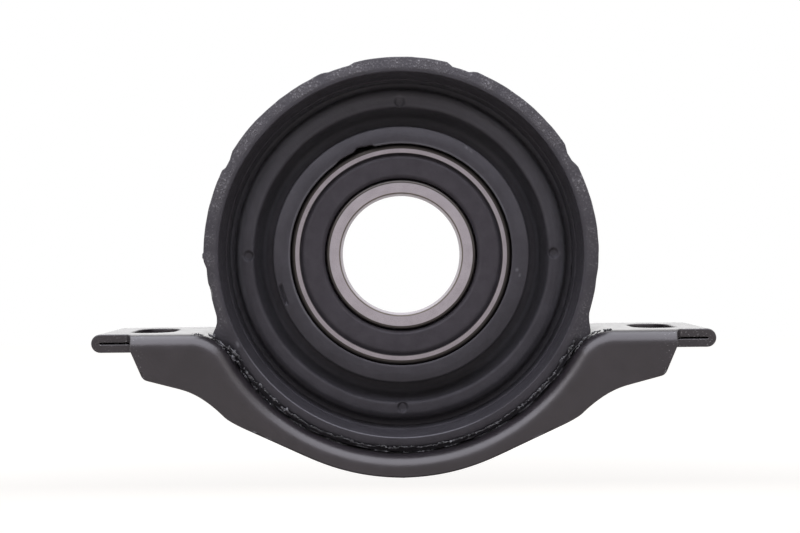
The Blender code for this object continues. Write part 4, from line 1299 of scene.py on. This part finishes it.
def slot_cutter(name, side):
    """The stadium of all points at radius r from a straight, stacked at the heights where r changes."""
    surfaces = (0.0, -SHEET, -2 * HEM_OUTER + SHEET, -2 * HEM_OUTER)
    levels = [(1.0, EASE)]
    for above, below in (surfaces[:2], surfaces[2:]):
        levels += [(above, EASE), (above - EASE_CORNER, EASE_CORNER), (above - EASE, 0)]
        levels += [(below + EASE, 0), (below + EASE_CORNER, EASE_CORNER), (below, EASE)]
    levels.append((-2 * HEM_OUTER - 1, EASE))
    height, extra = np.array(levels).T
    a = np.linspace(0, np.pi, 21)
    a = np.concatenate([a, a + np.pi])
    end = np.where(np.arange(len(a)) < len(a) // 2, SLOT_STRAIGHT, -SLOT_STRAIGHT)
    wide = SLOT_RADIUS + extra[:, None]
    x = side * SLOT_X + EAR_SHIFT + wide * np.cos(a)
    y = end + wide * np.sin(a)
    points = np.stack([x, y, np.broadcast_to(height[:, None], x.shape)], -1)
    rows, columns = x.shape
    faces = grid_faces(rows, columns, close_rows=False).tolist()
    caps = [list(range(columns)), list(range((rows - 1) * columns, rows * columns))]
    return new_piece(name, points * MM, faces + caps)


# %% Pressed bracket
solid = skin.modifiers.new("sheet", "SOLIDIFY")
solid.thickness = SHEET * MM
solid.offset = -1
solid.use_even_offset = True
soften = skin.modifiers.new("soften", "BEVEL")
soften.width = 0.25 * MM
soften.segments = 3
soften.limit_method = "ANGLE"
soften.angle_limit = math.radians(60)
soften.use_clamp_overlap = False
cutters = [slot_cutter("left_slot_cutter", -1), slot_cutter("right_slot_cutter", 1)]
for cutter in cutters:
    punch = skin.modifiers.new(cutter.name, "BOOLEAN")
    punch.operation = "DIFFERENCE"
    punch.solver = "EXACT"
    punch.object = cutter
weigh = skin.modifiers.new("even_faces", "WEIGHTED_NORMAL")
weigh.keep_sharp = True


def baked(piece):
    """Replaces a piece's mesh by what its modifiers make of it."""
    bpy.context.view_layer.update()
    finished = piece.evaluated_get(bpy.context.evaluated_depsgraph_get())
    mesh = bpy.data.meshes.new_from_object(finished)
    piece.modifiers.clear()
    piece.data = mesh
    return piece


bracket = baked(skin)
for cutter in cutters:
    bpy.data.objects.remove(cutter, do_unlink=True)
place = positions(bracket) / MM
low, high = place.min(0), place.max(0)
print("bracket faces:", len(bracket.data.polygons), "from", low.round(2), "to", high.round(2))

# %% [markdown]
# Paint is thin on cut edges. How worn each point may be is stored on the mesh: the ends of the flanges,
# the folded ends of the ears and the ears' side edges count, and the flat faces don't.

# %% Worn edges
x, y, z = place.T
flange_end = smooth_step(abs(x), 50.0, 54.0) * smooth_step(abs(y), 12.4, 13.0)
fold_end = smooth_step(abs(x), 60.6, 62.4)
hem_edge = smooth_step(abs(y), 11.9, 12.2) * (abs(x) > 54) * 0.7
worn = np.clip(np.maximum.reduce([flange_end, 0.5 * fold_end, hem_edge]), 0, 1)
give_attribute(bracket, "worn", worn)
finish_piece(bracket, paint, "mount", ["bracket"])
print("worn vertices:", int((worn > 0.1).sum()), "of", len(worn))

# %% [markdown]
# ## Cage
# The cage is two pressed strips that hold the balls apart, riveted together between them. The seals hide
# it from every side, so the ready-made solids stay as they are and only get the finish of bright strip.

# %% Cage
cage_nodes = [cad_node for name, cad_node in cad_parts.items() if name.startswith("cage_")]
for cad_node in cage_nodes:
    cad_node.data.materials.clear()
    cad_node.data.materials.append(cage_steel)
print("cage pieces:", len(cage_nodes))
